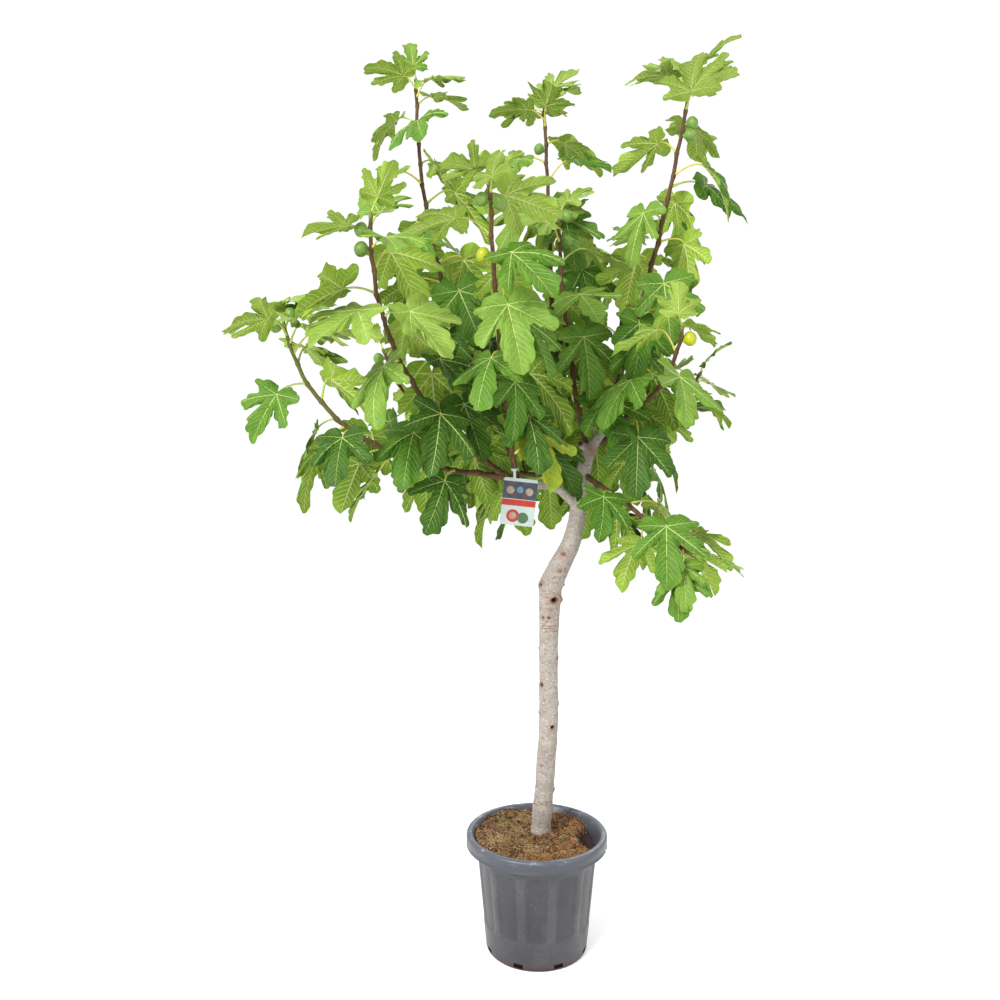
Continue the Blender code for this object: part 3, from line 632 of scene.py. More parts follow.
for vert in shell.verts:
    out = math.hypot(vert.co.x, vert.co.y)
    height = vert.co.z
    if abs(out - side_radius(height)) > 0.0004 or not FLUTE_LOW - 0.02 < height < FLUTE_HIGH + 0.02:
        continue
    turn = math.atan2(vert.co.x, -vert.co.y) - math.radians(FLUTE_TURN)
    aside = abs((turn / TURN * FLUTES + 0.5) % 1 - 0.5)
    across = climb(FLUTE_HALF - aside, 0, FLUTE_SLOPE)
    arch = FLUTE_ARCH * (aside / FLUTE_HALF) ** 3
    fade = climb(height, FLUTE_LOW + arch, FLUTE_END) * climb(FLUTE_HIGH - arch, height, FLUTE_END)
    depth = FLUTE_DEPTH * across * across * (3 - 2 * across) * fade
    vert.co.x *= 1 - depth / out
    vert.co.y *= 1 - depth / out
pot = into_scene("nursery_pot", shell)
punches = bmesh.new()
for index in range(SLOTS):
    seat = (
        Matrix.Rotation(TURN * (index + 0.5) / SLOTS, 4, "Z")
        @ Matrix.Translation((0, -POT_FOOT, SLOT_SILL + SLOT_HEIGHT / 2))
        @ Matrix.Diagonal((SLOT_WIDTH, SLOT_CUT, SLOT_HEIGHT, 1))
    )
    bmesh.ops.create_cube(punches, size=1, matrix=seat)
notch = (
    Matrix.Rotation(math.radians(NOTCH_TURN), 4, "Z")
    @ Matrix.Translation((0, -COLLAR, COLLAR_LOW))
    @ Matrix.Rotation(math.radians(NOTCH_TILT), 4, "Y")
    @ Matrix.Diagonal((*NOTCH_SIZE, 1))
)
bmesh.ops.create_cube(punches, size=1, matrix=notch)
punch = into_scene("punch", punches)
cut_slots = pot.modifiers.new("slots", "BOOLEAN")
cut_slots.operation = "DIFFERENCE"
cut_slots.object = punch
apply_modifiers(pot)
bpy.data.objects.remove(punch)
pot.data.shade_smooth()
pot.data.set_sharp_from_angle(angle=math.radians(POT_EDGE))

places, _ = mesh_arrays(pot.data)
heights = places[:, 2]
# A painted shade for the finish to read: full in the flutes' hollows and on the wall's hidden inside
# and underside, and 0.4 of it on the outside below the flutes.
sunk = climb(side_radius(heights), np.hypot(places[:, 0], places[:, 1]), FLUTE_DEPTH)
sunk *= climb(FLUTE_HIGH + 0.004, heights, 0.008)
set_mark(pot, "sunk", np.maximum(sunk, climb(FLUTE_LOW + 0.004, heights, 0.008) * 0.4))

plastic, tree = finish_named("dusty_plastic", tint(64, 65, 72))
spots = object_vector(tree)
height = wire(tree, "ShaderNodeSeparateXYZ", {"Vector": spots}).outputs["Z"]
dust = masked(tree, patches, object_vector(tree, (1, 1, 0.55)), Scale=22.0, Low=0.50, High=0.85)
# Painted highlight: pale bluish streaks over the upper part of the rim, standing in for glints of the
# light.
glint_streaks = masked(tree, patches, object_vector(tree, (1, 1, 4)), Scale=26.0, Low=0.56, High=0.70)
rim_glint_band = ramp(tree, height, POT_HEIGHT - 0.016, POT_HEIGHT - 0.006, 0.7)
splash = masked(tree, patches, spots, Scale=30.0, Low=0.38, High=0.62)
foot_mud = ramp(tree, height, 0.040, 0.004, 0.9)
coat(
    tree, tint(68, 68, 74),
    (masked(tree, patches, spots, Scale=8.0, Low=0.38, High=0.66), tint(84, 84, 89)),
    # Painted shade: this mark darkens the flutes' hollows and the foot.
    (marked(tree, "sunk"), (0.58, 0.58, 0.60, 1), "MULTIPLY"),
    (dust, tint(86, 84, 86)),
    (masked(tree, patches, spots, Scale=110.0, Low=0.50, High=0.80), tint(50, 50, 55)),
    # Painted highlight: the collar is painted a lighter, bluer grey, and the top of the rim lighter
    # again.
    (ramp(tree, height, COLLAR_LOW - 0.004, COLLAR_LOW + 0.006, 0.60), tint(78, 83, 94)),
    (ramp(tree, height, POT_HEIGHT - 0.010, POT_HEIGHT, 0.45), tint(120, 127, 140)),
    # Painted highlight: bluish-white glints along the rim.
    (both(tree, glint_streaks, rim_glint_band), tint(176, 186, 202)),
    (both(tree, splash, foot_mud), tint(84, 56, 40)),
    (ramp(tree, height, 0.015, 0.006, 0.95), tint(58, 36, 24)),
    (masked(tree, specks, spots, Scale=85.0, Size=0.16, Share=0.16), tint(150, 150, 150)),
)
dull = wire(tree, "ShaderNodeMapRange", {"Value": dust, "To Min": 0.38, "To Max": 0.66})
feed(tree, "Roughness", dull.outputs[0])
bump(tree, cloud(tree, spots, 420.0), 0.00015)
pot.data.materials.append(plastic)
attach(pot, "root")
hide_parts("pot")


# The compost
# A plug of brown compost fills the pot to just under the collar. Its top is uneven and
# crumbly, matted with tan coir fibres, with a little moss and one hollow by the rim.

SOIL_RINGS = 46
SOIL_SIDES = 128
SOIL_LIFT = 0.003               # how far the loose top stands above the level
# Lumps of the top: how far they go up and down, and their size
SOIL_LUMPS = ((0.0060, 0.045), (0.0046, 0.016), (0.0024, 0.006))
HOLLOW = Vector((0.153, 0.012, 0))          # a gap between the compost and the wall
HOLLOW_WIDE = Vector((0.030, 0.062, 1))
HOLLOW_DEPTH = 0.034
BANK = Vector((-0.100, 0.136, 0))           # earth piled against the rim
BANK_WIDTH = 0.040
BANK_RISE = 0.012
RIM_RISE = 0.0075               # how far the top climbs to the rim, most at the back left
RIM_FROM = 0.4                  # share of the radius at which it begins to
FIBRES = 3600
MOSS = 500
FIBRE_LENGTH = (0.010, 0.034)
MOSS_LENGTH = (0.006, 0.014)
FIBRE_CURL = 3.6                # radians from end to end, at most
FIBRE_RISE = (0.0045, 0.0080)   # how high a loose and a tufted one arch, at most
FIBRE_THICK = (0.00034, 0.00080)
FIBRE_TAPER = (0.3, 1, 1, 1, 1, 0.8, 0.2)
# Tufts of coir by place and tone: 0 pale, 1 gold
TUFTS = (
    (0.128, 0.094, 1), (0.066, -0.110, 1), (0.088, -0.046, 1), (-0.148, -0.056, 0),
    (0.015, -0.135, 1), (0.100, 0.045, 1), (-0.030, 0.120, 0), (-0.060, 0.060, 0),
    (-0.020, -0.080, 0), (0.120, -0.090, 1), (0.040, 0.130, 1), (-0.120, -0.010, 0),
)
MOSSY = ((-0.099, 0.092), (-0.118, -0.037), (-0.070, 0.040), (-0.040, -0.020))
TUFT_SPREAD = (0.017, 0.015)
CRUMBS = 1100
CRUMB_SIZE = (0.0010, 0.0034)
CRUMB_TONES = (0, 0, 0, 1, 1, 1, 1, 1, 1, 2)
BANK_SPREAD = (0.020, 0.014)
SEEDLING = (0.073, -0.006)
LEAFLETS = 9
LEAFLET = (0.0046, 0.0026, 0.0006)
LEAFLET_RISE = 0.0014


def hollowed(x, y):
    """How much of the hollow's depth a place has."""
    off = Vector((x, y, 0)) - HOLLOW
    return math.exp(-(off.x / HOLLOW_WIDE.x) ** 2 - (off.y / HOLLOW_WIDE.y) ** 2)


def soil_height(x, y):
    """The compost's surface at a place."""
    spot = Vector((x, y, 0))
    lumps = sum(rise * noise.noise(spot / size + UP * layer)
                for layer, (rise, size) in enumerate(SOIL_LUMPS))
    bank = BANK_RISE * bell((spot - BANK).length, BANK_WIDTH)
    outward = max(0, spot.length / inner_radius(SOIL_LEVEL) - RIM_FROM)
    bank += RIM_RISE * outward * max(0, 1 + (0.6 * y - 0.8 * x) / 0.17)
    return SOIL_LEVEL + SOIL_LIFT + lumps + bank - HOLLOW_DEPTH * hollowed(x, y)


def on_disc(dice, radius):
    """A random place on a disc."""
    out, turn = radius * math.sqrt(dice.random()), dice.uniform(0, TURN)
    return out * math.cos(turn), out * math.sin(turn)


soil_edge = inner_radius(SOIL_LEVEL) - GAP
profile = [(0, FLOOR_THICK + 0.0005)]
profile += [(inner_radius(height) - GAP, height) for height in (FLOOR_THICK + 0.0005, 0.15, 0.285)]
profile += [(soil_edge * (1 - ring / SOIL_RINGS), SOIL_LEVEL) for ring in range(SOIL_RINGS + 1)]
plug = turned(profile, SOIL_SIDES)
for vert in plug.verts:
    if vert.co.z > SOIL_LEVEL - 0.001:
        height = soil_height(vert.co.x, vert.co.y)
        share = math.hypot(vert.co.x, vert.co.y) / soil_edge
        spread = ((inner_radius(max(height, FLARE_FOOT)) - GAP) / soil_edge - 1) * share ** 3
        vert.co = (vert.co.x * (1 + spread), vert.co.y * (1 + spread), height)
compost = into_scene("compost", plug)
compost.data.shade_smooth()

earth, tree = finish_named("earth", tint(90, 62, 44), 0.95, 0.1)
spots = object_vector(tree)
height = wire(tree, "ShaderNodeSeparateXYZ", {"Vector": spots}).outputs["Z"]
coat(
    tree, tint(80, 53, 40),
    (masked(tree, patches, spots, Scale=55.0, Low=0.40, High=0.62), tint(138, 100, 72)),
    (masked(tree, patches, spots, Scale=16.0, Low=0.50, High=0.75), tint(148, 114, 82)),
    # Painted shade: the compost below the level of its top, in the hollow and behind the drain slots,
    # is painted a darker, greyer brown.
    (ramp(tree, height, SOIL_LEVEL + 0.001, SOIL_LEVEL - 0.007), tint(76, 58, 53)),
    (masked(tree, specks, spots, Scale=260.0, Size=0.45, Share=0.45), tint(52, 34, 24)),
)
bump(tree, cloud(tree, spots, 260.0, Detail=6.0, Roughness=0.7), 0.003)
compost.data.materials.append(earth)
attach(compost, "root")
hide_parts("soil")


class Heap:
    """Many small shapes gathered as arrays, to become one mesh."""

    def __init__(self):
        self.places, self.faces, self.tones, self.count = [], [], [], 0

    def add(self, places, faces, tone=0):
        """Take in a shape: an array of places, a list of faces and its material's number."""
        self.places.append(places)
        self.faces += [[corner + self.count for corner in face] for face in faces]
        self.tones.append(np.broadcast_to(tone, len(faces)))
        self.count += len(places)

    def piece(self, name, finishes, edge=180):
        """The shapes as one object, smooth but for edges bent by more than some degrees."""
        mesh = bpy.data.meshes.new(name)
        mesh.from_pydata(np.concatenate(self.places).tolist(), [], self.faces)
        mesh.polygons.foreach_set("material_index", np.concatenate(self.tones).astype(np.int32))
        for finish in finishes:
            mesh.materials.append(finish)
        mesh.shade_smooth()
        if edge < 180:
            mesh.set_sharp_from_angle(angle=math.radians(edge))
        made = bpy.data.objects.new(name, mesh)
        bpy.context.scene.collection.objects.link(made)
        return made


def as_arrays(bm):
    """A bmesh's places and faces, as the shape that a heap takes."""
    bm.verts.ensure_lookup_table()
    places = np.array([vert.co[:] for vert in bm.verts])
    faces = [[vert.index for vert in face.verts] for face in bm.faces]
    bm.free()
    return places, faces


def strip_faces(rings, sides):
    """The faces of a tube of rings, with a fan of triangles over each of its ends."""
    step = np.arange(sides)
    after = (step + 1) % sides
    last = (rings - 1) * sides
    faces = []
    for low in range(0, last, sides):
        high = low + sides
        faces += np.stack([low + step, low + after, high + after, high + step], 1).tolist()
    for corner in range(1, sides - 1):
        faces.append([0, corner + 1, corner])
        faces.append([last, last + corner, last + corner + 1])
    return faces


def strand(path, radii, sides, upright=(0.13, 0.31, 0.94)):
    """Places and faces of a closed tube along an array of points."""
    path = np.asarray(path, float)
    along = np.gradient(path, axis=0)
    along /= np.linalg.norm(along, axis=1, keepdims=True)
    side = np.cross(along, upright)
    side /= np.maximum(np.linalg.norm(side, axis=1, keepdims=True), 1e-9)
    lift = np.cross(side, along)
    turns = np.arange(sides)[:, None] * TURN / sides
    rim = side[:, None] * np.cos(turns) + lift[:, None] * np.sin(turns)
    places = (path[:, None] + rim * np.asarray(radii)[:, None, None]).reshape(-1, 3)
    return places, strip_faces(len(path), sides)


def tinted(name, colour, other, rough=0.8, size=160.0, gloss=0.3):
    """A finish that drifts between two near colours."""
    material, tree = finish_named(name, tint(*colour), rough, gloss)
    drift = masked(tree, patches, object_vector(tree), Scale=size, Low=0.35, High=0.65)
    coat(tree, tint(*colour), (drift, tint(*other)))
    return material


dice = random.Random("coir")
coir = Heap()
for count in range(FIBRES + MOSS):
    mossy = count >= FIBRES
    tufted = count % 3 == 0
    tone = dice.choice((0, 0, 2, 2, 1, 1))
    if mossy or tufted:
        middle = dice.choice(MOSSY if mossy else TUFTS)
        x, y = [spot + dice.gauss(0, spread) for spot, spread in zip(middle, TUFT_SPREAD)]
        tone = 3 if mossy else middle[2]
    else:
        x, y = on_disc(dice, soil_edge * 0.99)
    bare = noise.noise(Vector((x, y, 0)) / 0.022 + UP * 5) < -0.10
    if math.hypot(x, y) > soil_edge or hollowed(x, y) > 0.14 or bare:
        continue
    length = dice.uniform(*(MOSS_LENGTH if mossy else FIBRE_LENGTH))
    heading = dice.uniform(0, TURN)
    curl = dice.uniform(-FIBRE_CURL, FIBRE_CURL)
    rise = dice.uniform(0.0010, FIBRE_RISE[tufted])
    steps = len(FIBRE_TAPER) - 1
    path = []
    for step in range(steps + 1):
        x += math.cos(heading) * length / steps
        y += math.sin(heading) * length / steps
        heading += curl / steps
        limit = soil_edge / max(soil_edge, math.hypot(x, y))
        x, y = x * limit, y * limit
        arch = rise * math.sin(math.pi * step / steps)
        path.append((x, y, soil_height(x, y) + arch + 0.0002))
    thick = dice.uniform(*FIBRE_THICK)
    coir.add(*strand(path, [thick * share for share in FIBRE_TAPER], 3), tone)
fibres = coir.piece("coir", (
    tinted("pale_coir", (240, 208, 160), (200, 160, 110)),
    tinted("gold_coir", (228, 172, 104), (172, 120, 68)),
    tinted("dark_coir", (146, 102, 70), (98, 64, 44)),
    tinted("moss", (206, 192, 128), (164, 154, 92)),
))
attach(fibres, "root")

lump = bmesh.new()
bmesh.ops.create_icosphere(lump, subdivisions=1, radius=1)
lump_places, lump_faces = as_arrays(lump)
crumbs = Heap()
for count in range(CRUMBS):
    if count % 5 == 0:
        x, y = [spot + dice.gauss(0, spread) for spot, spread in zip(BANK, BANK_SPREAD)]
    else:
        x, y = on_disc(dice, soil_edge * 0.985)
    if math.hypot(x, y) > soil_edge or hollowed(x, y) > 0.55:
        continue
    size = dice.uniform(*CRUMB_SIZE)
    shape = lump_places * [size * dice.uniform(0.6, 1.3) for axis in range(3)]
    spot = np.array((x, y, soil_height(x, y) + size * 0.3))
    crumbs.add(shape + spot, lump_faces, dice.choice(CRUMB_TONES))
for leaflet in range(LEAFLETS):
    out = 0.0030 + 0.0006 * leaflet
    shape = lump_places * LEAFLET + (out, 0, LEAFLET_RISE * leaflet + 0.002)
    shape = shape @ np.array(Matrix.Rotation(leaflet * 2.4, 3, "Z")).T
    crumbs.add(shape + (*SEEDLING, soil_height(*SEEDLING)), lump_faces, 3)
litter = crumbs.piece("crumbs", (
    tinted("dark_crumb", (66, 44, 30), (46, 30, 20), 0.95),
    tinted("brown_crumb", (150, 110, 76), (116, 82, 56), 0.95),
    tinted("pale_crumb", (206, 190, 164), (176, 154, 122), 0.95),
    tinted("seedling", (160, 190, 92), (134, 168, 76), 0.6),
))
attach(litter, "root")


# The shoots
# Each brown shoot bends away from its limb and tapers to a slim bud. Its bark is thrown
# out into a knuckle wherever a leaf stands or stood.

Shoot = namedtuple("Shoot", "name limb place elbow tip leaves seeds figs")
SHOOTS = (
    Shoot("shoot_far_left", "bough_low_left", 0.97, (-0.613, -0.116, 1.386),
          (-0.668, -0.160, 1.769), 14, (432, 65, 214, 219), ((0.010, 180), (0.030, 10))),
    Shoot("shoot_front_left", "bough_low_left", 0.90, (-0.445, -0.190, 1.580),
          (-0.412, -0.340, 1.977), 15, (553, 365, 136, 399), ((0.040, 0), (0.085, 10))),
    Shoot("shoot_tall_left", "bough_left", 0.97, (-0.348, 0.125, 1.880),
          (-0.348, 0.160, 2.489), 18, (77, 70, 107, 577), ()),
    Shoot("shoot_front_middle", "bough_low_left", 0.82, (-0.124, -0.216, 1.753),
          (-0.128, -0.380, 2.048), 15, (402, 94, 461, 696), ((0.060, 180), (0.050, 0), (0.180, 0))),
    Shoot("shoot_tall_middle", "bough_left", 0.45, (0.050, 0.150, 1.906),
          (0.026, 0.240, 2.451), 18, (50, 585, 405, 139), ((0.030, 180), (0.150, 10))),
    Shoot("shoot_short_middle", "bough_right", 0.42, (0.066, 0.030, 1.742),
          (0.059, 0.040, 2.072), 13, (491, 409, 107, 1), ((0.010, 180), (0.080, 180))),
    Shoot("shoot_tall_right", "bough_right", 0.80, (0.330, -0.030, 1.930),
          (0.401, -0.060, 2.396), 18, (175, 165, 402, 237), ((0.140, 180), (0.110, 180), (0.390, 0))),
    Shoot("shoot_right", "bough_right", 0.97, (0.351, -0.120, 1.562),
          (0.351, -0.240, 1.730), 10, (450, 540, 1, 1), ((0.040, 180),)),
    Shoot("shoot_low_right", "bough_right", 0.16, (0.262, -0.140, 1.262),
          (0.375, -0.270, 1.159), 11, (559, 514, 1, 1), ((0.060, 90), (0.110, 270))),
    Shoot("shoot_outer_right", "bough_right", 0.62, (0.366, 0.139, 1.484),
          (0.500, 0.220, 1.650), 11, (274, 503, 1, 1), ()),
    Shoot("shoot_back_left", "bough_left", 0.80, (-0.190, 0.400, 1.700),
          (-0.220, 0.500, 2.020), 14, (697, 301, 414, 544), ((0.030, 90), (0.080, 200))),
    Shoot("shoot_back_middle", "bough_back", 0.97, (0.110, 0.520, 1.620),
          (0.080, 0.600, 1.900), 12, (306, 157, 657, 1), ((0.040, 20),)),
    Shoot("shoot_back_right", "bough_back", 0.80, (0.300, 0.380, 1.750),
          (0.320, 0.440, 2.120), 14, (533, 377, 164, 207), ((0.050, 160), (0.090, 20))),
    Shoot("shoot_back_far_left", "bough_left", 0.62, (-0.400, 0.330, 1.460),
          (-0.480, 0.400, 1.740), 12, (438, 315, 505, 1), ((0.030, 0),)),
    Shoot("shoot_back_low_left", "bough_left", 0.30, (-0.160, 0.360, 1.330),
          (-0.330, 0.480, 1.420), 11, (452, 6, 23, 1), ()),
    Shoot("shoot_back_low_right", "bough_back", 0.55, (0.380, 0.330, 1.340),
          (0.460, 0.450, 1.560), 11, (445, 343, 586, 1), ((0.030, 120),)),
)
STEM_FOOT = 0.0064
STEM_TOP = 0.0036
STEM_RINGS = 9
BUD_LENGTH = 0.014
BUD_RADIUS = 0.0008
SPACING = 0.055                 # between the leaves' places down a stem
CROWDING = 0.60                 # how much closer they are at the tip
CROWDED = 3
SPIRAL = 137.5                  # degrees round the stem from one leaf to the next
CANE_STEP = 0.005
CANE_SIDES = 10
CANE_BARK = 1.28                # how much thicker the bark makes a stem
CANE_PLACES = 40                # leaf places looked at, more than any stem has room for
CANE_BARE = 0.03                # length at a stem's foot that no leaf has stood on
BUD_SHAPE = ((0.25, 0.80), (0.5, 0.62), (0.75, 0.36), (0.92, 0.16), (1.0, 0.04))
# As shares of the radius: how far the bark swells at a leaf, how far the stem swerves there,
# and the flare where a shoot leaves its limb. Then the length of each.
KNUCKLE = 0.34
SWERVE = 0.50
COLLAR_SWELL = 0.45
KNUCKLE_LONG = 0.0055
SWERVE_LONG = 0.016
COLLAR_LONG = 0.016
GREEN_BARK = {"shoot_far_left": 0.24}       # length of green bark below the tip
GREEN_REST = 0.010                          # the same, on the other shoots


def grow_stem(shoot):
    """A shoot's stem, bending from its limb through the elbow's pull to its tip."""
    foot, _ = limb_spot(limbs[shoot.limb], shoot.place)
    elbow, tip = Vector(shoot.elbow), Vector(shoot.tip)
    points, radii = [], []
    for ring in range(STEM_RINGS + 1):
        t = ring / STEM_RINGS
        points.append(foot * (1 - t) ** 2 + elbow * 2 * t * (1 - t) + tip * t ** 2)
        radii.append(STEM_FOOT + (STEM_TOP - STEM_FOOT) * t)
    points.append(tip + (tip - points[-2]).normalized() * BUD_LENGTH)
    radii.append(BUD_RADIUS)
    return Limb(points, radii)


def below_tip(stem, distance):
    """The point, direction and radius at a distance down a stem from its tip."""
    for index in range(len(stem.points) - 2, 0, -1):
        top, bottom = stem.points[index], stem.points[index - 1]
        span = (top - bottom).length
        if distance <= span or index == 1:
            share = min(distance / span, 1)
            radius = stem.radii[index] * (1 - share) + stem.radii[index - 1] * share
            return top.lerp(bottom, share), (top - bottom).normalized(), radius
        distance -= span


def round_stem(axis, degrees):
    """The direction square to a stem at an angle round it, 0 being -X on an upright."""
    side = Vector((0, -1, 0)).cross(axis)
    side = (side - axis * side.dot(axis)).normalized()
    turn = math.radians(degrees)
    return side * math.cos(turn) + axis.cross(side) * math.sin(turn)


def leaf_distance(index):
    """How far below the tip of its shoot a leaf stands."""
    return SPACING * index * (1 - CROWDING * math.exp(-index / CROWDED))


def stem_length(stem):
    """The length of a stem, its bud included."""
    return sum((b - a).length for a, b in zip(stem.points, stem.points[1:]))


def first_turn(shoot):
    """The angle round its stem of a shoot's youngest leaf."""
    return random.Random(shoot.seeds[0]).uniform(0, 360)


def grow_cane(shoot, stem):
    """The path of a shoot's bark, with the radius and the age at each of its rings."""
    length = stem_length(stem) - BUD_LENGTH
    green = GREEN_BARK.get(shoot.name, GREEN_REST)
    stands = [(leaf_distance(index), first_turn(shoot) + SPIRAL * index)
              for index in range(CANE_PLACES) if leaf_distance(index) < length - CANE_BARE]
    rings = round(length / CANE_STEP)
    path, radii, ages = [], [], []
    for ring in range(rings + 1):
        down = length * (1 - ring / rings)
        point, axis, radius = below_tip(stem, down)
        swerve = Vector()
        for stand, turn in stands:
            swerve += round_stem(axis, turn) * bell(down - stand, SWERVE_LONG)
        swell = KNUCKLE * min(sum(bell(down - stand, KNUCKLE_LONG) for stand, _ in stands), 1)
        flare = COLLAR_SWELL * math.exp(-(length - down) / COLLAR_LONG)
        path.append(point + swerve * radius * SWERVE)
        radii.append(radius * CANE_BARK * (1 + swell + flare))
        ages.append(1 - bell(down, green))
    tip = path[-1]
    for share, width in BUD_SHAPE:
        path.append(tip + axis * BUD_LENGTH * share)
        radii.append(radius * CANE_BARK * width)
        ages.append(0)
    return path, radii, ages


shoot_bark, tree = finish_named("shoot_bark", tint(98, 70, 54), 0.7, 0.2)
spots = object_vector(tree)
streaks = object_vector(tree, (1, 1, 0.3))
coat(
    tree, tint(122, 92, 58),
    (masked(tree, patches, streaks, Scale=130.0, Low=0.35, High=0.65), tint(78, 56, 38)),
    (masked(tree, specks, spots, Scale=300.0, Size=0.30, Share=0.35), tint(174, 150, 120)),
    (ramp(tree, marked(tree, "age"), 1.0, 0.0), tint(124, 140, 62)),
)
bump(tree, cloud(tree, spots, 300.0), 0.0005)

stems = {shoot.name: grow_stem(shoot) for shoot in SHOOTS}
for shoot in SHOOTS:
    path, radii, ages = grow_cane(shoot, stems[shoot.name])
    heap = Heap()
    heap.add(*strand(path, radii, CANE_SIDES))
    cane = heap.piece(shoot.name.replace("shoot", "cane"), (shoot_bark,))
    set_mark(cane, "age", np.repeat(ages, CANE_SIDES))
    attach(cane, "root")


# The leaves
# Thin hand-shaped blades of three to five lobes on long curved stalks. Pale veins run out
# along each lobe and branch to its wavy edge, and the under face is the lighter one.

# The tips and bays of half a packed leaf: degrees from its midrib and shares of its length
HALF_LEAF = ((9, 0.98), (20, 0.50), (43, 0.80), (69, 0.38), (100, 0.46))
LEAF_LENGTH = 0.172
LEAF_YOUNG = 0.056              # how much shorter the youngest is
STALK_LENGTH = 0.074
STALK_YOUNG = 0.036
STALK_KNEE = 0.010
GROWN = 1.8                     # leaves down the shoot over which they grow up
RISE_TIP = 0.65                 # how far the youngest follow the shoot's own rise
RISE_FOOT = -68                 # degrees that the oldest hang at
RISE_RATE = 4.0                 # leaves down the shoot over which they drop
BARE_FOOT = 0.07
SPLAY = 68                      # degrees between a stalk and its shoot
SPLAY_YOUNG = 34
SPLAY_STRAY = 8
LIFT_YOUNG = 0.30
SAG = 0.12
SWAY = 22
ROLL = 38
LEVEL_LEAST = 0.2
LENGTH_SPREAD = (0.86, 1.12)
STALK_SPREAD = (0.75, 1.25)
ARCH = (0.02, 0.30)
FOLD = (0.06, 0.28)
WING = (0.00, 0.30)
LEAVES_PER_SEED = 4
TRIES = 12
TIP_MATCH = 0.0015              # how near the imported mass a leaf's tips must lie, in metres
TIPS_NEEDED = 7                 # of its ten
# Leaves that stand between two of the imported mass: their number from the tip, and the seed
# that deals each out
BETWEEN = {
    "shoot_far_left": ((1.5, 77), (2.5, 10), (6.5, 18), (8.5, 5)),
    "shoot_front_left": ((1.5, 27), (4.5, 37)),
    "shoot_tall_left": ((1.5, 89),),
    "shoot_front_middle": ((0.5, 45),),
    "shoot_tall_middle": ((0.5, 62), (1.5, 27), (7.5, 65)),
    "shoot_tall_right": ((0.5, 37), (1.5, 26), (5.5, 72)),
    "shoot_right": ((1.5, 35),),
    "shoot_low_right": ((1.5, 49), (2.5, 71)),
}

Leaf = namedtuple("Leaf", "root leave joint right along face length arch fold wing")


def aim_leaf(shoot, stem, index, seed, attempt):
    """How one leaf leaves its stem and holds its blade, counting down from the tip."""
    dice = random.Random(f"{seed}/{index}/{attempt}")
    youth = math.exp(-index / GROWN)
    root, axis, radius = below_tip(stem, leaf_distance(index))
    turn = first_turn(shoot) + SPIRAL * index + dice.uniform(-SWAY, SWAY) * (1 + attempt / 2)
    outward = round_stem(axis, turn)
    stray = dice.uniform(-SPLAY_STRAY, SPLAY_STRAY)
    splay = math.radians(SPLAY - SPLAY_YOUNG * youth + stray)
    leave = axis * math.cos(splay) + outward * math.sin(splay)
    leave = (leave + UP * (LIFT_YOUNG * youth - SAG)).normalized()
    level = Vector((leave.x, leave.y, 0))
    if level.length < LEVEL_LEAST:
        level = Vector((outward.x, outward.y, 0))
    level.normalize()
    level.rotate(Matrix.Rotation(math.radians(dice.uniform(-SWAY, SWAY)), 3, "Z"))
    top_rise = RISE_TIP * math.degrees(math.asin(axis.z))
    rise = RISE_FOOT + (top_rise - RISE_FOOT) * math.exp(-index / RISE_RATE)
    rise = math.radians(rise + dice.uniform(-SWAY, SWAY))
    along = level * math.cos(rise) + UP * math.sin(rise)
    face = UP * math.cos(rise) - level * math.sin(rise)
    face.rotate(Matrix.Rotation(math.radians(dice.uniform(-ROLL, ROLL)), 3, along))
    length = (LEAF_LENGTH - LEAF_YOUNG * youth) * dice.uniform(*LENGTH_SPREAD)
    stalk = (STALK_LENGTH - STALK_YOUNG * youth) * dice.uniform(*STALK_SPREAD)
    joint = root + leave * (radius + stalk) + along * STALK_KNEE
    arch = dice.uniform(*ARCH)
    fold = dice.uniform(*FOLD)
    wing = dice.uniform(*WING)
    return Leaf(root, leave, joint, along.cross(face), along, face, length, arch, fold, wing)


def bent(leaf, x, y):
    """How far a place on the flat leaf stands out of its plane."""
    return leaf.fold * abs(x) - leaf.arch * y * y - leaf.wing * x * x


def leaf_as_packed(shoot, stem, index, packed):
    """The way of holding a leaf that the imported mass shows, or none."""
    seed = shoot.seeds[min(index // LEAVES_PER_SEED, len(shoot.seeds) - 1)]
    for attempt in range(TRIES):
        leaf = aim_leaf(shoot, stem, index, seed, attempt)
        met = 0
        for degrees, reach in HALF_LEAF:
            turn = math.radians(degrees)
            for x in (reach * math.sin(turn), -reach * math.sin(turn)):
                y = reach * math.cos(turn)
                tip = leaf.right * x + leaf.along * y + leaf.face * bent(leaf, x, y)
                met += packed.find_nearest(leaf.joint + tip * leaf.length)[3] < TIP_MATCH
        if met >= TIPS_NEEDED:
            return leaf
    return None


# The outline of half a blade, as degrees from the midrib and shares of the length: the
# middle lobe, the narrow bay beside it, the side lobe, a second bay and the basal lobe.
# The third number is how much a point moves when the bays are deeper.
OUTLINE = (
    (0, 1.00, 0), (5, 0.965, 0), (10, 0.90, 0), (15, 0.80, 0), (18.5, 0.68, 0.2),
    (21, 0.55, 0.6), (24, 0.41, 1), (28, 0.41, 1), (32, 0.53, 0.6), (36, 0.69, 0.2),
    (40, 0.80, 0), (45, 0.85, 0), (51, 0.78, 0), (57, 0.65, 0.2), (62, 0.51, 0.6),
    (67, 0.40, 1), (74, 0.40, 0.8), (83, 0.48, 0.1), (94, 0.51, 0), (106, 0.46, 0),
    (122, 0.38, 0), (142, 0.29, 0), (160, 0.18, 0), (174, 0.06, 0), (180, 0.03, 0),
)
FORMS = 9                       # different outlines that the leaves share
BAY_DEPTH = (-0.20, 0.30)       # how much shallower or deeper their bays are
BREADTH = (0.86, 1.0)           # of the side lobes
BROADENED = (20, 160)           # the degrees between which it tells
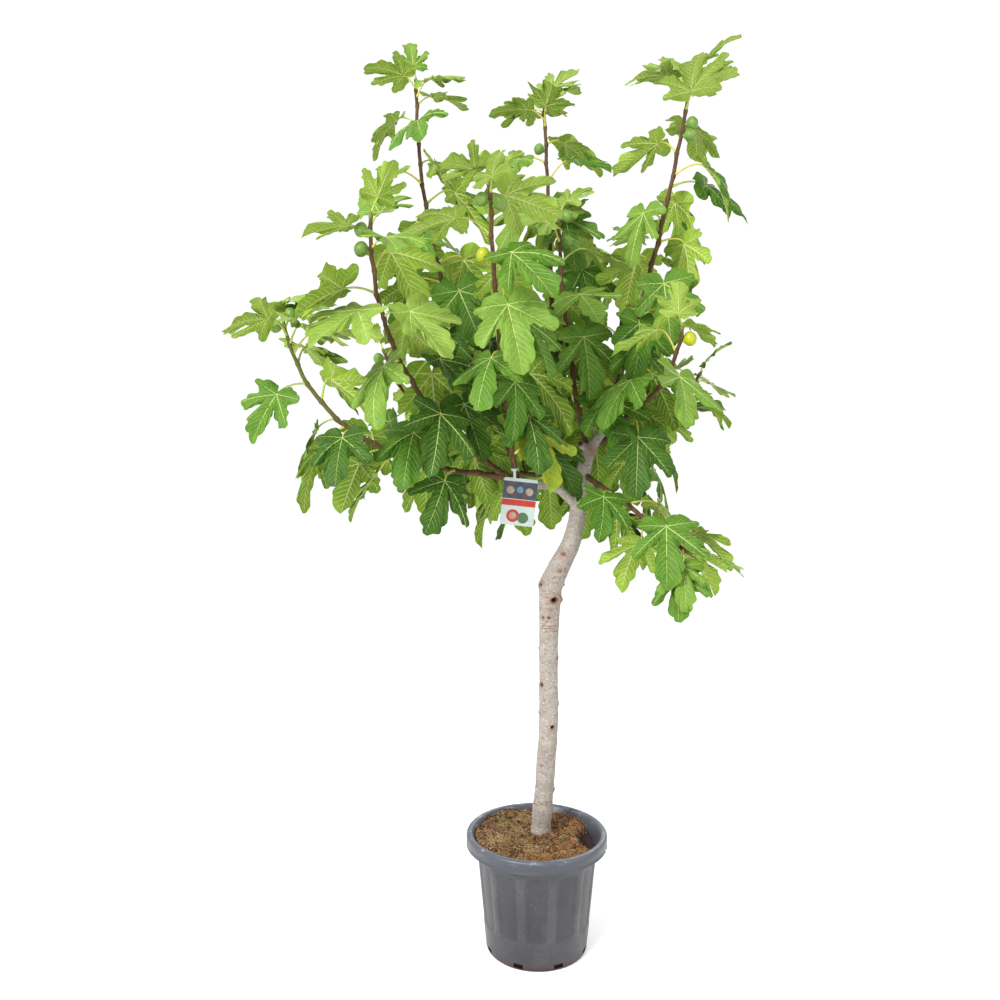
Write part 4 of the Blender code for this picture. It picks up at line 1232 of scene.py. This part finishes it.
LOBE_STRAY = (0.95, 1.04)       # of each point outside the bays
STRAYING = (0, 150)             # the degrees between which it tells
RIM_SMOOTH = 8                  # points between two of the outline
RIM_TURN = 0.002                # radians dealt out round the rim, so that it never turns back
RIM_HALF = 66                   # faces round half a blade
ROWS = (0.0, 0.30, 0.55, 0.76, 0.91, 1.0)
EDGE_TURN = 55                  # degrees past which an edge of a blade stays sharp
TEETH = 13                      # rounded teeth along the edge of half a blade
TOOTH = 0.068
TOOTH_WIDTH = (0.6, 1.4)
TOOTH_HEIGHT = (0.4, 1.4)
TOOTH_LEVEL = 0.6               # share of a tooth that is cut out of the outline
TEETH_START = 15                # they swell up over 1 / 15 of the edge at the tip
TEETH_STOP = 5                  # and die out over 1 / 5 of it at the heel
BLADE_THICK = 0.0050            # as a share of the length
BLADE_SIZE = 0.94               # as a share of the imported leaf, which goes round the teeth
JOINT_ROW = 1e-5                # the first row's share, so that it keeps its directions
RIPPLE = 0.028
RIPPLES = 9                     # round the rim
FINE_RIPPLE = 0.6               # the height of the finer ones, as a share
FINE_RIPPLES = 17
FINE_SHIFT = 2.7                # of their phase against the first
CREASE = (0.04, 0.20)           # the trough along each main vein
CURL = (-0.16, 0.05)            # how far the tip of each lobe turns up
CURL_WIDTH = 0.40
MAINS = (0, 45, 94, -94, -45)   # degrees of the main veins
MAIN_SEEKS = 7                  # how far from there the tip of their lobe may lie
MAIN_STEPS = 9                  # points along a main vein
MAIN_REACH = 0.985              # where it ends and starts, as shares of the way to the tip
MAIN_ROOT = 0.004
MAIN_TAPER = 0.82
VEIN_GAP = 0.088                # between a main vein's branches, as a share of the length
VEIN_FIRST = {-1: 1.65, 1: 1.3}             # gaps before the first, on the left and right
VEIN_STRAY = (0.85, 1.15)
VEIN_START = 0.0150             # half the width of the midrib where it starts, the same
VEIN_HIGH = 0.20                # a vein's height, as a share of half its width
VEIN_PROUD = 0.0022             # how far it stands out of the blade, as a share of the length
VEIN_REACH = 0.97               # the furthest it goes, as a share of the way to the edge
VEIN_SPLAY = 54                 # degrees between a branch and its main vein
SPLAY_CLOSING = 14              # how much less that is at the lobe's tip
SPLAY_ERROR = 3
VEIN_BEND = 1.1                 # degrees that a branch turns with each stride
VEIN_STRIDE = 0.02
VEIN_STRIDES = 26
VEIN_STEPS = 6                  # points along a branch
BRANCH_WIDTH = 0.62             # as a share of its main vein's where it starts
BRANCH_THINNER = 0.35           # how much thinner the branches are at the lobe's tip
BRANCH_END = 0.35               # a branch's width at its own end, as a share
BRANCH_REACH = 0.95             # the furthest it grows, as a share of the way to the edge
LOBE_HALF = 24                  # degrees from a main vein that its branches keep within
HEEL_HALF = 72                  # the same, at the heel of the leaf

Form = namedtuple("Form", "rim turns mains mains_wide sides sides_wide")


def smooth_through(spots, steps):
    """A smooth line through an array of spots."""
    ends = np.concatenate((spots[1:2] * (-1, 1), spots, spots[-2:-1] * (-1, 1)))
    line = [glide(*four, t)
            for four in zip(ends, ends[1:], ends[2:], ends[3:]) for t in np.arange(steps) / steps]
    return np.array([*line, spots[-1]])


def off_turn(turns, middle):
    """How far turns are from a middle one, from half a turn one way to half the other."""
    return (turns - middle + math.pi) % TURN - math.pi


def half_rim(dice, deeper):
    """One side of a leaf's outline, from the tip to the heel, evenly spaced."""
    broad = dice.uniform(*BREADTH)
    spots = []
    for degrees, reach, bay in OUTLINE:
        reach *= 1 - deeper * bay
        if BROADENED[0] < degrees < BROADENED[1]:
            reach *= broad
        if STRAYING[0] < degrees < STRAYING[1] and not bay:
            reach *= dice.uniform(*LOBE_STRAY)
        turn = math.radians(degrees)
        spots.append((reach * math.sin(turn), reach * math.cos(turn)))
    line = smooth_through(np.array(spots), RIM_SMOOTH)
    run = np.concatenate(([0], np.cumsum(np.linalg.norm(np.diff(line, axis=0), axis=1))))
    share = np.linspace(0, 1, RIM_HALF + 1)
    rim = np.stack([np.interp(share * run[-1], run, line[:, axis]) for axis in (0, 1)], 1)
    ahead = np.gradient(rim, axis=0)
    ahead /= np.linalg.norm(ahead, axis=1, keepdims=True)
    widths = np.array([dice.uniform(*TOOTH_WIDTH) for tooth in range(TEETH)])
    heights = np.array([dice.uniform(*TOOTH_HEIGHT) for tooth in range(TEETH + 1)])
    ends = np.concatenate(([0], np.cumsum(widths))) / widths.sum()
    count = np.interp(share, ends, range(TEETH + 1))
    tooth = (np.abs(np.sin(math.pi * count)) - TOOTH_LEVEL) * heights[count.astype(int)]
    calm = np.clip(share * TEETH_START, 0, 1) * np.clip((1 - share) * TEETH_STOP, 0, 1)
    rim += np.stack((-ahead[:, 1], ahead[:, 0]), 1) * (TOOTH * tooth * calm)[:, None]
    turns = np.maximum.accumulate(np.arctan2(np.maximum(rim[:, 0], 0), rim[:, 1]))
    turns = (turns + share * RIM_TURN) * math.pi / (math.pi + RIM_TURN)
    turns[0], turns[-1] = 0, math.pi
    return turns, np.linalg.norm(rim, axis=1)


def to_grid(form_turns, reach, spots):
    """Places on the flat leaf as rows out from the joint and columns round the rim."""
    turn = np.arctan2(spots[..., 0], spots[..., 1]) % TURN
    closed = [*form_turns, TURN]
    share = np.linalg.norm(spots, axis=-1) / np.interp(turn, closed, [*reach, reach[0]])
    row = np.interp(np.minimum(share, VEIN_REACH), ROWS, range(len(ROWS)))
    return np.stack((row, np.interp(turn, closed, range(len(closed)))), -1)


def branch_path(start, aim, side, heading, half, turns, reach):
    """The strides of one branch of a main vein, until it nears the edge or the next lobe."""
    path = [start]
    for stride in range(VEIN_STRIDES):
        aim -= side * math.radians(VEIN_BEND)
        spot = path[-1] + np.array((math.sin(aim), math.cos(aim))) * VEIN_STRIDE
        turn = math.atan2(spot[0], spot[1])
        edge = np.interp(turn % TURN, [*turns, TURN], [*reach, reach[0]])
        if np.linalg.norm(spot) > edge * BRANCH_REACH or side * off_turn(turn, heading) > half:
            break
        path.append(spot)
    return np.array(path)


def leaf_form(dice):
    """A whole outline, with the paths of its veins as rows and columns."""
    deeper = dice.uniform(*BAY_DEPTH)
    right, left = half_rim(dice, deeper), half_rim(dice, deeper)
    turns = np.concatenate((right[0], TURN - left[0][-2:0:-1]))
    reach = np.concatenate((right[1], left[1][-2:0:-1]))
    rim = np.stack((np.sin(turns), np.cos(turns)), 1) * reach[:, None]
    mains, mains_wide, sides, sides_wide = [], [], [], []
    for degrees in MAINS:
        near = np.abs(off_turn(turns, math.radians(degrees)))
        best = np.argmax(np.where(near < math.radians(MAIN_SEEKS), reach, 0))
        tip = rim[best] * MAIN_REACH
        length = np.linalg.norm(tip)
        heading = math.atan2(tip[0], tip[1])
        size = length ** 0.5
        shares = np.linspace(0, 1, MAIN_STEPS)
        mains.append(tip * np.maximum(shares, MAIN_ROOT)[:, None])
        mains_wide.append(size * (1 - MAIN_TAPER * shares))
        for side, gaps in VEIN_FIRST.items():
            at_heel = abs(degrees) > 90 and side * degrees > 0
            half = math.radians(HEEL_HALF if at_heel else LOBE_HALF)
            start = VEIN_GAP * gaps
            while start < length - VEIN_GAP / 2:
                share = start / length
                splay = VEIN_SPLAY - SPLAY_CLOSING * share + dice.uniform(-SPLAY_ERROR, SPLAY_ERROR)
                aim = heading + side * math.radians(splay)
                path = branch_path(tip * share, aim, side, heading, half, turns, reach)
                if len(path) > 2:
                    steps = np.linspace(0, len(path) - 1, VEIN_STEPS)
                    spots = [np.interp(steps, range(len(path)), path[:, axis]) for axis in (0, 1)]
                    sides.append(np.stack(spots, 1))
                    sides_wide.append(size * BRANCH_WIDTH * (1 - BRANCH_THINNER * share)
                                      * np.linspace(1, BRANCH_END, VEIN_STEPS))
                start += VEIN_GAP * dice.uniform(*VEIN_STRAY)
    return Form(rim, turns, to_grid(turns, reach, np.array(mains)), np.array(mains_wide),
                to_grid(turns, reach, np.array(sides)), np.array(sides_wide))


def blade_grid(leaf, form, dice):
    """The middle surface of a blade, by rows out from the joint and columns round the rim."""
    rows = np.maximum(ROWS, JOINT_ROW)[:, None, None]
    flat = form.rim[None] * rows
    x, y = flat[..., 0], flat[..., 1]
    share = rows[..., 0]
    round_rim = np.arange(len(form.rim)) / len(form.rim) * TURN
    phase = dice.uniform(0, TURN)
    height = bent(leaf, x, y)
    height = height + RIPPLE * share ** 2 * np.sin(round_rim * RIPPLES + phase)
    finer = np.sin(round_rim * FINE_RIPPLES + phase * FINE_SHIFT)
    height += RIPPLE * FINE_RIPPLE * share ** 4 * finer
    offs = [np.abs(off_turn(form.turns, math.radians(degrees))) for degrees in MAINS]
    crease = dice.uniform(*CREASE)
    height += crease * np.hypot(x, y) * np.sin(np.minimum(np.min(offs, axis=0), math.pi / 4))
    for off in offs:
        height += dice.uniform(*CURL) * share ** 3 * bell(off, CURL_WIDTH)
    around = np.array((leaf.right[:], leaf.along[:], leaf.face[:]))
    size = leaf.length * BLADE_SIZE
    return np.array(leaf.joint[:]) + np.stack((x, y, height), -1) @ around * size


def blade_faces():
    """A blade's faces: of its upper side, and of its under side with the rim between them."""
    count, rings = RIM_HALF * 2, len(ROWS) - 1
    step = np.arange(count)
    after = (step + 1) % count
    last = 1 + count * (rings - 1)
    under = count + last
    upper = np.stack([np.zeros(count, int), 1 + after, 1 + step], 1).tolist()
    for low in range(1, last, count):
        high = low + count
        upper += np.stack([low + step, low + after, high + after, high + step], 1).tolist()
    lower = [[corner + under for corner in reversed(face)] for face in upper]
    edge = [last + step, last + after, under + last + after, under + last + step]
    return upper, lower + np.stack(edge, 1).tolist()


def on_grid(grid, spots):
    """Points of a blade's surface at rows and columns that need not be whole."""
    row = np.minimum(spots[..., 0].astype(int), len(grid) - 2)
    column = spots[..., 1].astype(int) % grid.shape[1]
    beside = (column + 1) % grid.shape[1]
    out = (spots[..., 0] - row)[..., None]
    across = (spots[..., 1] % 1)[..., None]
    low = grid[row, column] * (1 - across) + grid[row, beside] * across
    high = grid[row + 1, column] * (1 - across) + grid[row + 1, beside] * across
    return low * (1 - out) + high * out


def vein_shapes(leaf, grid, spots, wide, above):
    """Many veins of one leaf, each a flat diamond tube that stands a little out of it.

    The last number is the finish above the leaf, and below it the finish is 0.
    """
    centre = on_grid(grid, spots)
    along = np.gradient(centre, axis=1)
    along /= np.linalg.norm(along, axis=2, keepdims=True)
    side = np.cross(along, np.array(leaf.face[:]))
    side /= np.linalg.norm(side, axis=2, keepdims=True)
    rise = np.cross(side, along)
    half = (VEIN_START * leaf.length * wide)[..., None]
    high = half * VEIN_HIGH + leaf.length * (BLADE_THICK / 2 + VEIN_PROUD)
    rings = np.stack((centre + side * half, centre + rise * high,
                      centre - side * half, centre - rise * high), 2)
    count, stations = spots.shape[:2]
    shape = strip_faces(stations, 4)
    faces = [[corner + vein * stations * 4 for corner in face]
             for vein in range(count) for face in shape]
    caps = len(shape) - 4 * (stations - 1)
    tones = ([above, above, 0, 0] * (stations - 1) + [above] * caps) * count
    return rings.reshape(-1, 3), faces, tones


def mottled(name, colour, other, rough, gloss, net):
    """A leaf finish: a colour that drifts, with the fine net of the smallest veins."""
    material, tree = finish_named(name, tint(*colour), rough, gloss)
    spots = object_vector(tree)
    cells = wire(tree, "ShaderNodeTexVoronoi", {"Vector": spots, "Scale": 210.0},
                 feature="DISTANCE_TO_EDGE").outputs["Distance"]
    coat(
        tree, tint(*colour),
        (masked(tree, patches, spots, Scale=26.0, Low=0.35, High=0.65), tint(*other)),
        (ramp(tree, cells, 0.12, 0.0, net), tint(214, 228, 130)),
    )
    bump(tree, cells, 0.0008, 0.5)
    return material


# Leaf tones from the youngest to the oldest, the darker ones also dealt to leaves low in the crown as
# painted shade: two of the upper face, two of the under face
TONES = (
    ((132, 166, 62), (154, 188, 80), (160, 194, 70), (178, 210, 92)),
    ((106, 148, 46), (128, 168, 60), (152, 188, 60), (170, 204, 80)),
    ((78, 126, 30), (98, 146, 42), (144, 182, 52), (162, 198, 70)),
    ((58, 110, 16), (78, 130, 24), (132, 172, 42), (150, 188, 60)),
    ((42, 88, 12), (58, 104, 18), (120, 162, 38), (138, 178, 54)),
)
leaf_finishes = []
for number, (upper, upper_other, under, under_other) in enumerate(TONES):
    leaf_finishes.append(mottled(f"leaf_upper_{number}", upper, upper_other, 0.5, 0.14, 0.10))
    leaf_finishes.append(mottled(f"leaf_under_{number}", under, under_other, 0.8, 0.1, 0.16))
YELLOWING = len(leaf_finishes)
leaf_finishes.append(mottled("leaf_yellowing", (150, 182, 36), (206, 206, 44), 0.5, 0.2, 0.2))
VEIN_PALE = (240, 248, 164)
VEIN_SHARES = (("branch", 0.40), ("midrib", 0.82))      # how far each goes from leaf to pale
vein_finishes = [tinted("pale_vein", VEIN_PALE, (226, 240, 142), 0.6, 90.0, 0.2)]
for number, tones in enumerate(TONES):
    for kind, share in VEIN_SHARES:
        near, far = [[leaf + (pale - leaf) * share for leaf, pale in zip(tone, VEIN_PALE)]
                     for tone in tones[:2]]
        vein_finishes.append(tinted(f"{kind}_over_{number}", near, far, 0.6, 90.0, 0.2))
stalk_finishes = (
    tinted("green_stalk", (196, 216, 100), (212, 226, 112), 0.5, 60.0, 0.2),
    tinted("yellow_stalk", (244, 236, 118), (222, 220, 98), 0.5, 60.0, 0.2),
)
AGE_RATE = 0.30                 # tones darker for each leaf down the shoot
TONE_STRAY = 1.2
SHADE_FROM = 1.75               # height below which leaves are darker
SHADE_RATE = 3.0                # tones for each metre below it
YELLOW_FROM = 8                 # leaves from the tip, past which a few have turned yellow
YELLOW_SHARE = 0.06
BLADE_TAPER = 0.25              # how thin a blade gets at its rim, as a share of its thickness
STALK_ROOT = 0.0030             # radii of a full-grown leaf's stalk
STALK_END = 0.0021
STALK_RINGS = 12
STALK_SIDES = 6
STALK_LIFT = 0.35               # how far a stalk bows upwards
STALK_PULL = 0.45               # shares of its length over which it leaves and enters
STALK_ENTER = 0.30
STALK_FOOT = 0.5                # how much thicker it is where it joins its shoot
STALK_FOOT_LONG = 0.12
YELLOW_STALKS = 0.25            # share of the youngest leaves' stalks that are yellow
YELLOW_STALKS_RATE = 0.12       # how much more for each tone that a leaf is darker


def stalk_path(leaf):
    """The curve of a leaf's stalk, out of its stem and up into the blade's joint."""
    reach = (leaf.joint - leaf.root).length
    pull = leaf.root + (leaf.leave + UP * STALK_LIFT) * reach * STALK_PULL
    enter = leaf.joint - leaf.along * reach * STALK_ENTER
    path = []
    for ring in range(STALK_RINGS + 1):
        t = ring / STALK_RINGS
        path.append(leaf.root * (1 - t) ** 3 + pull * 3 * t * (1 - t) ** 2
                    + enter * 3 * t ** 2 * (1 - t) + leaf.joint * t ** 3)
    return path


forms = [leaf_form(random.Random(f"form {number}")) for number in range(FORMS)]
upper_faces, lower_faces = blade_faces()
stalk_shares = np.linspace(0, 1, STALK_RINGS + 1)
stalk_thick = STALK_ROOT + (STALK_END - STALK_ROOT) * stalk_shares
stalk_thick *= 1 + STALK_FOOT * bell(stalk_shares, STALK_FOOT_LONG)
row_thick = [1.0] + [min(1.0, BLADE_TAPER + (1 - share) * 4) for share in ROWS[1:]]
blade_thick = np.repeat(row_thick, [1] + [RIM_HALF * 2] * (len(ROWS) - 1))[:, None]
for shoot in SHOOTS:
    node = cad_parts[shoot.name]
    packed = BVHTree.FromPolygons([vert.co for vert in node.data.vertices],
                                  [face.vertices for face in node.data.polygons])
    stem = stems[shoot.name]
    blades, veins, stalks = Heap(), Heap(), Heap()
    standing = [index for index in range(shoot.leaves)
                if leaf_distance(index) < stem_length(stem) - BARE_FOOT]
    held = [(index, leaf_as_packed(shoot, stem, index, packed)) for index in standing]
    held += [(index, aim_leaf(shoot, stem, index, seed, 0))
             for index, seed in BETWEEN.get(shoot.name, ())]
    for index, leaf in held:
        if leaf is None:
            continue
        dice = random.Random(f"{shoot.name} {index}")
        form = forms[dice.randrange(FORMS)]
        # Leaves low in the crown take darker tones, as painted shade.
        shaded = max(0, SHADE_FROM - leaf.joint.z) * SHADE_RATE
        tone = index * AGE_RATE + dice.uniform(-TONE_STRAY, TONE_STRAY) + shaded
        tone = min(len(TONES) - 1, max(0, round(tone)))
        top = YELLOWING if index > YELLOW_FROM and dice.random() < YELLOW_SHARE else tone * 2
        grid = blade_grid(leaf, form, dice)
        middle = np.concatenate((grid[0, :1], grid[1:].reshape(-1, 3)))
        half = blade_thick * np.array(leaf.face[:]) * leaf.length * BLADE_THICK / 2
        tones = [top] * len(upper_faces) + [tone * 2 + 1] * len(lower_faces)
        blades.add(np.concatenate((middle + half, middle - half)), upper_faces + lower_faces, tones)
        veins.add(*vein_shapes(leaf, grid, form.sides, form.sides_wide, 1 + tone * 2))
        veins.add(*vein_shapes(leaf, grid, form.mains, form.mains_wide, 2 + tone * 2))
        thick = stalk_thick * (leaf.length / LEAF_LENGTH) ** 0.5
        yellow = dice.random() < YELLOW_STALKS + YELLOW_STALKS_RATE * tone
        stalks.add(*strand(stalk_path(leaf), thick, STALK_SIDES), int(yellow))
    for heap, kind, finishes, edge in ((blades, "leaves", leaf_finishes, EDGE_TURN),
                                       (veins, "veins", vein_finishes, 180),
                                       (stalks, "stalks", stalk_finishes, 180)):
        piece = heap.piece(shoot.name.replace("shoot", kind), finishes, edge)
        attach(piece, "root")
        if kind == "leaves":
            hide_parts(shoot.name)


# The figs
# Young figs sit singly where leaves meet the shoots: round, with a short neck, a small
# dark eye at the end and pale flecks on green skin. Two that ripen have turned yellow.

FIG_RADIUS = 0.0165
FIG_LENGTH = 0.036
FIG_TILT = 0.35
FIG_OUT = 0.002
FIG_SPREAD = (1.0, 1.14)
FIG_PROFILE = (
    (0.00, 0.0), (0.02, 0.20), (0.08, 0.24), (0.14, 0.30), (0.22, 0.55), (0.32, 0.80),
    (0.44, 0.96), (0.56, 1.02), (0.68, 0.99), (0.79, 0.86), (0.88, 0.66), (0.945, 0.42),
    (0.975, 0.22), (0.980, 0.14), (0.965, 0.06), (0.960, 0.0),
)
FIG_SIDES = 24
FIG_EYE = 0.955                 # where the eye begins, as a share of the length
RIPE = (("shoot_front_middle", 2), ("shoot_right", 0))

skin_green, tree = finish_named("green_fig_skin", tint(122, 164, 76), 0.45, 0.35)
spots = object_vector(tree)
coat(
    tree, tint(104, 146, 60),
    (masked(tree, patches, spots, Scale=45.0, Low=0.35, High=0.65), tint(144, 180, 78)),
    (masked(tree, specks, spots, Scale=420.0, Size=0.28, Share=0.5), tint(184, 206, 136)),
)
fig_finishes = (
    skin_green,
    tinted("ripe_fig_skin", (204, 204, 24), (176, 196, 40), 0.4, 45.0, 0.4),
    tinted("fig_eye", (110, 78, 46), (70, 46, 32), 0.8),
)

profile = [(FIG_RADIUS * width, FIG_LENGTH * height) for height, width in FIG_PROFILE]
fig_places, fig_faces = as_arrays(turned(profile, FIG_SIDES))
eyes = [min(fig_places[face][:, 2]) > FIG_LENGTH * FIG_EYE for face in fig_faces]
figs = Heap()
for shoot in SHOOTS:
    for number, (distance, degrees) in enumerate(shoot.figs):
        root, axis, _ = below_tip(stems[shoot.name], distance)
        stand = (round_stem(axis, degrees) + axis * FIG_TILT).normalized()
        turn = np.array(stand.to_track_quat("Z", "Y").to_matrix())
        size = random.Random(f"{shoot.name} fig {number}").uniform(*FIG_SPREAD)
        places = fig_places * size @ turn.T + np.array(root + stand * FIG_OUT)
        skin = 1 if (shoot.name, number) in RIPE else 0
        figs.add(places, fig_faces, np.where(eyes, 2, skin))
fruit = figs.piece("figs", fig_finishes)
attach(fruit, "root")


# The label
# A nursery's glossy tag of thin plastic hangs by its own strap round the foot of the front
# shoot. Its plain print is rounds on a slate field, a red band and more rounds below.

LABEL_SHOOT = "shoot_front_middle"
LABEL_WIDTH = 0.092
LABEL_HEIGHT = 0.128
LABEL_THICK = 0.0010
LABEL_LEAN = 6                  # degrees out of plumb
LABEL_PLACE = 0.035             # where it hangs, as a share of the shoot's length
LABEL_HANG = 0.027              # from the strap's ring down to the card
LABEL_SHIFT = 0.018             # of the card beside its ring
LABEL_ROUND = 0.005             # of its corners
STRAP_WIDTH = 0.007
STRAP_THICK = 0.0012
STRAP_LOOSE = 1.2               # the ring's radius, as a share of the cane's
STRAP_SIDES = 32
INK = 0.00012                   # thickness of a printed field
# Printed fields: the finish, then the left, low, right and high edge as shares of the card
FIELDS = (
    ("slate", 0.00, 0.56, 1.00, 0.93),
    ("red", 0.00, 0.415, 1.00, 0.545),
)
# Printed rounds: the finish, the middle as shares of the card and the radius in metres
ROUNDS = (
    ("sand", 0.22, 0.74, 0.0105), ("blue", 0.50, 0.76, 0.0090), ("sand", 0.78, 0.73, 0.0105),
    ("brown", 0.36, 0.64, 0.0060), ("brown", 0.64, 0.63, 0.0060),
    ("green", 0.66, 0.17, 0.0150), ("red", 0.36, 0.20, 0.0175), ("sand", 0.36, 0.20, 0.0100),
)
ROUND_STEPS = 28
# The card's and the inks' colours, and the size of their drift
INKS = {
    "card": ("label_card", (206, 222, 212), (194, 208, 204), 30.0),
    "slate": ("slate_ink", (52, 56, 70), (78, 84, 98), 60.0),
    "red": ("red_ink", (206, 52, 36), (190, 44, 32), 40.0),
    "green": ("green_ink", (84, 120, 84), (70, 104, 74), 40.0),
    "sand": ("sand_ink", (190, 170, 150), (160, 136, 116), 90.0),
    "blue": ("blue_ink", (116, 150, 186), (92, 124, 160), 90.0),
    "brown": ("brown_ink", (120, 66, 50), (94, 50, 40), 90.0),
}
colours = list(INKS)


def plate(bm, outline, near, far, seat, number):
    """A flat plate of a printed or cut outline, from one depth to another."""
    verts = [bm.verts.new((x, -far, z)) for x, z in outline]
    face = bm.faces.new(verts)
    raised_part = bmesh.ops.extrude_face_region(bm, geom=[face])["geom"]
    moved = [part for part in raised_part if isinstance(part, bmesh.types.BMVert)]
    bmesh.ops.translate(bm, verts=moved, vec=(0, far - near, 0))
    made = {face for vert in [*verts, *moved] for face in vert.link_faces}
    for face in made:
        face.material_index = number
    bmesh.ops.transform(bm, matrix=seat, verts=[*verts, *moved])


def on_card(x, z):
    """A place on the card from shares of its width and height."""
    return LABEL_WIDTH * (x - 0.5), LABEL_HEIGHT * (z - 1)


stem = stems[LABEL_SHOOT]
centre, radius = limb_spot(stem, LABEL_PLACE)
axis = (stem.points[1] - stem.points[0]).normalized()
ring = radius * CANE_BARK * STRAP_LOOSE
front = centre.y - ring - STRAP_THICK
low = centre.z - LABEL_HANG
top = Vector((centre.x + LABEL_SHIFT, front, low))
lean = Matrix.Translation(top) @ Matrix.Rotation(math.radians(LABEL_LEAN), 4, "Y")

tag = bmesh.new()
half = LABEL_WIDTH / 2 - LABEL_ROUND
foot = LABEL_ROUND - LABEL_HEIGHT
outline = []
for x, z, start in ((half, -LABEL_ROUND, 0), (-half, -LABEL_ROUND, 90), (-half, foot, 180),
                    (half, foot, 270)):
    outline += arc(x, z, LABEL_ROUND, start, start + 90, 5)
plate(tag, outline, -LABEL_THICK / 2, LABEL_THICK / 2, lean, 0)
for name, left, bottom, right, high in FIELDS:
    edges = [on_card(left, bottom), on_card(right, bottom), on_card(right, high), on_card(left, high)]
    plate(tag, edges, LABEL_THICK / 2 - INK, LABEL_THICK / 2 + INK, lean, colours.index(name))
for number, (name, x, z, size) in enumerate(ROUNDS):
    edges = arc(*on_card(x, z), size, 0, 360, ROUND_STEPS)[:-1]
    depth = LABEL_THICK / 2 + INK * (2 + number % 3)
    plate(tag, edges, LABEL_THICK / 2, depth, lean, colours.index(name))
half = STRAP_WIDTH / 2
neck = [(-half, -STRAP_WIDTH), (half, -STRAP_WIDTH), (half, LABEL_HANG), (-half, LABEL_HANG)]
plate(tag, neck, -STRAP_THICK / 2, STRAP_THICK / 2, Matrix.Translation((centre.x, front, low)), 0)
seat = Matrix.Translation(centre) @ UP.rotation_difference(axis).to_matrix().to_4x4()
band = [tag.verts.new(seat @ Vector((ring + out, 0, up)))
        for out, up in ((0, -half), (STRAP_THICK, -half), (STRAP_THICK, half), (0, half))]
hoop = [tag.edges.new(pair) for pair in zip(band, [*band[1:], band[0]])]
bmesh.ops.spin(tag, geom=band + hoop, cent=centre, axis=axis, angle=TURN, steps=STRAP_SIDES,
               use_merge=True, use_duplicate=False)
bmesh.ops.remove_doubles(tag, verts=tag.verts, dist=0.00001)
bmesh.ops.recalc_face_normals(tag, faces=tag.faces)
label = into_scene("label_tag", tag)
for name, colour, other, size in INKS.values():
    label.data.materials.append(tinted(name, colour, other, 0.35, size, 0.5))
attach(label, "root")
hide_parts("label")

low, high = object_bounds()
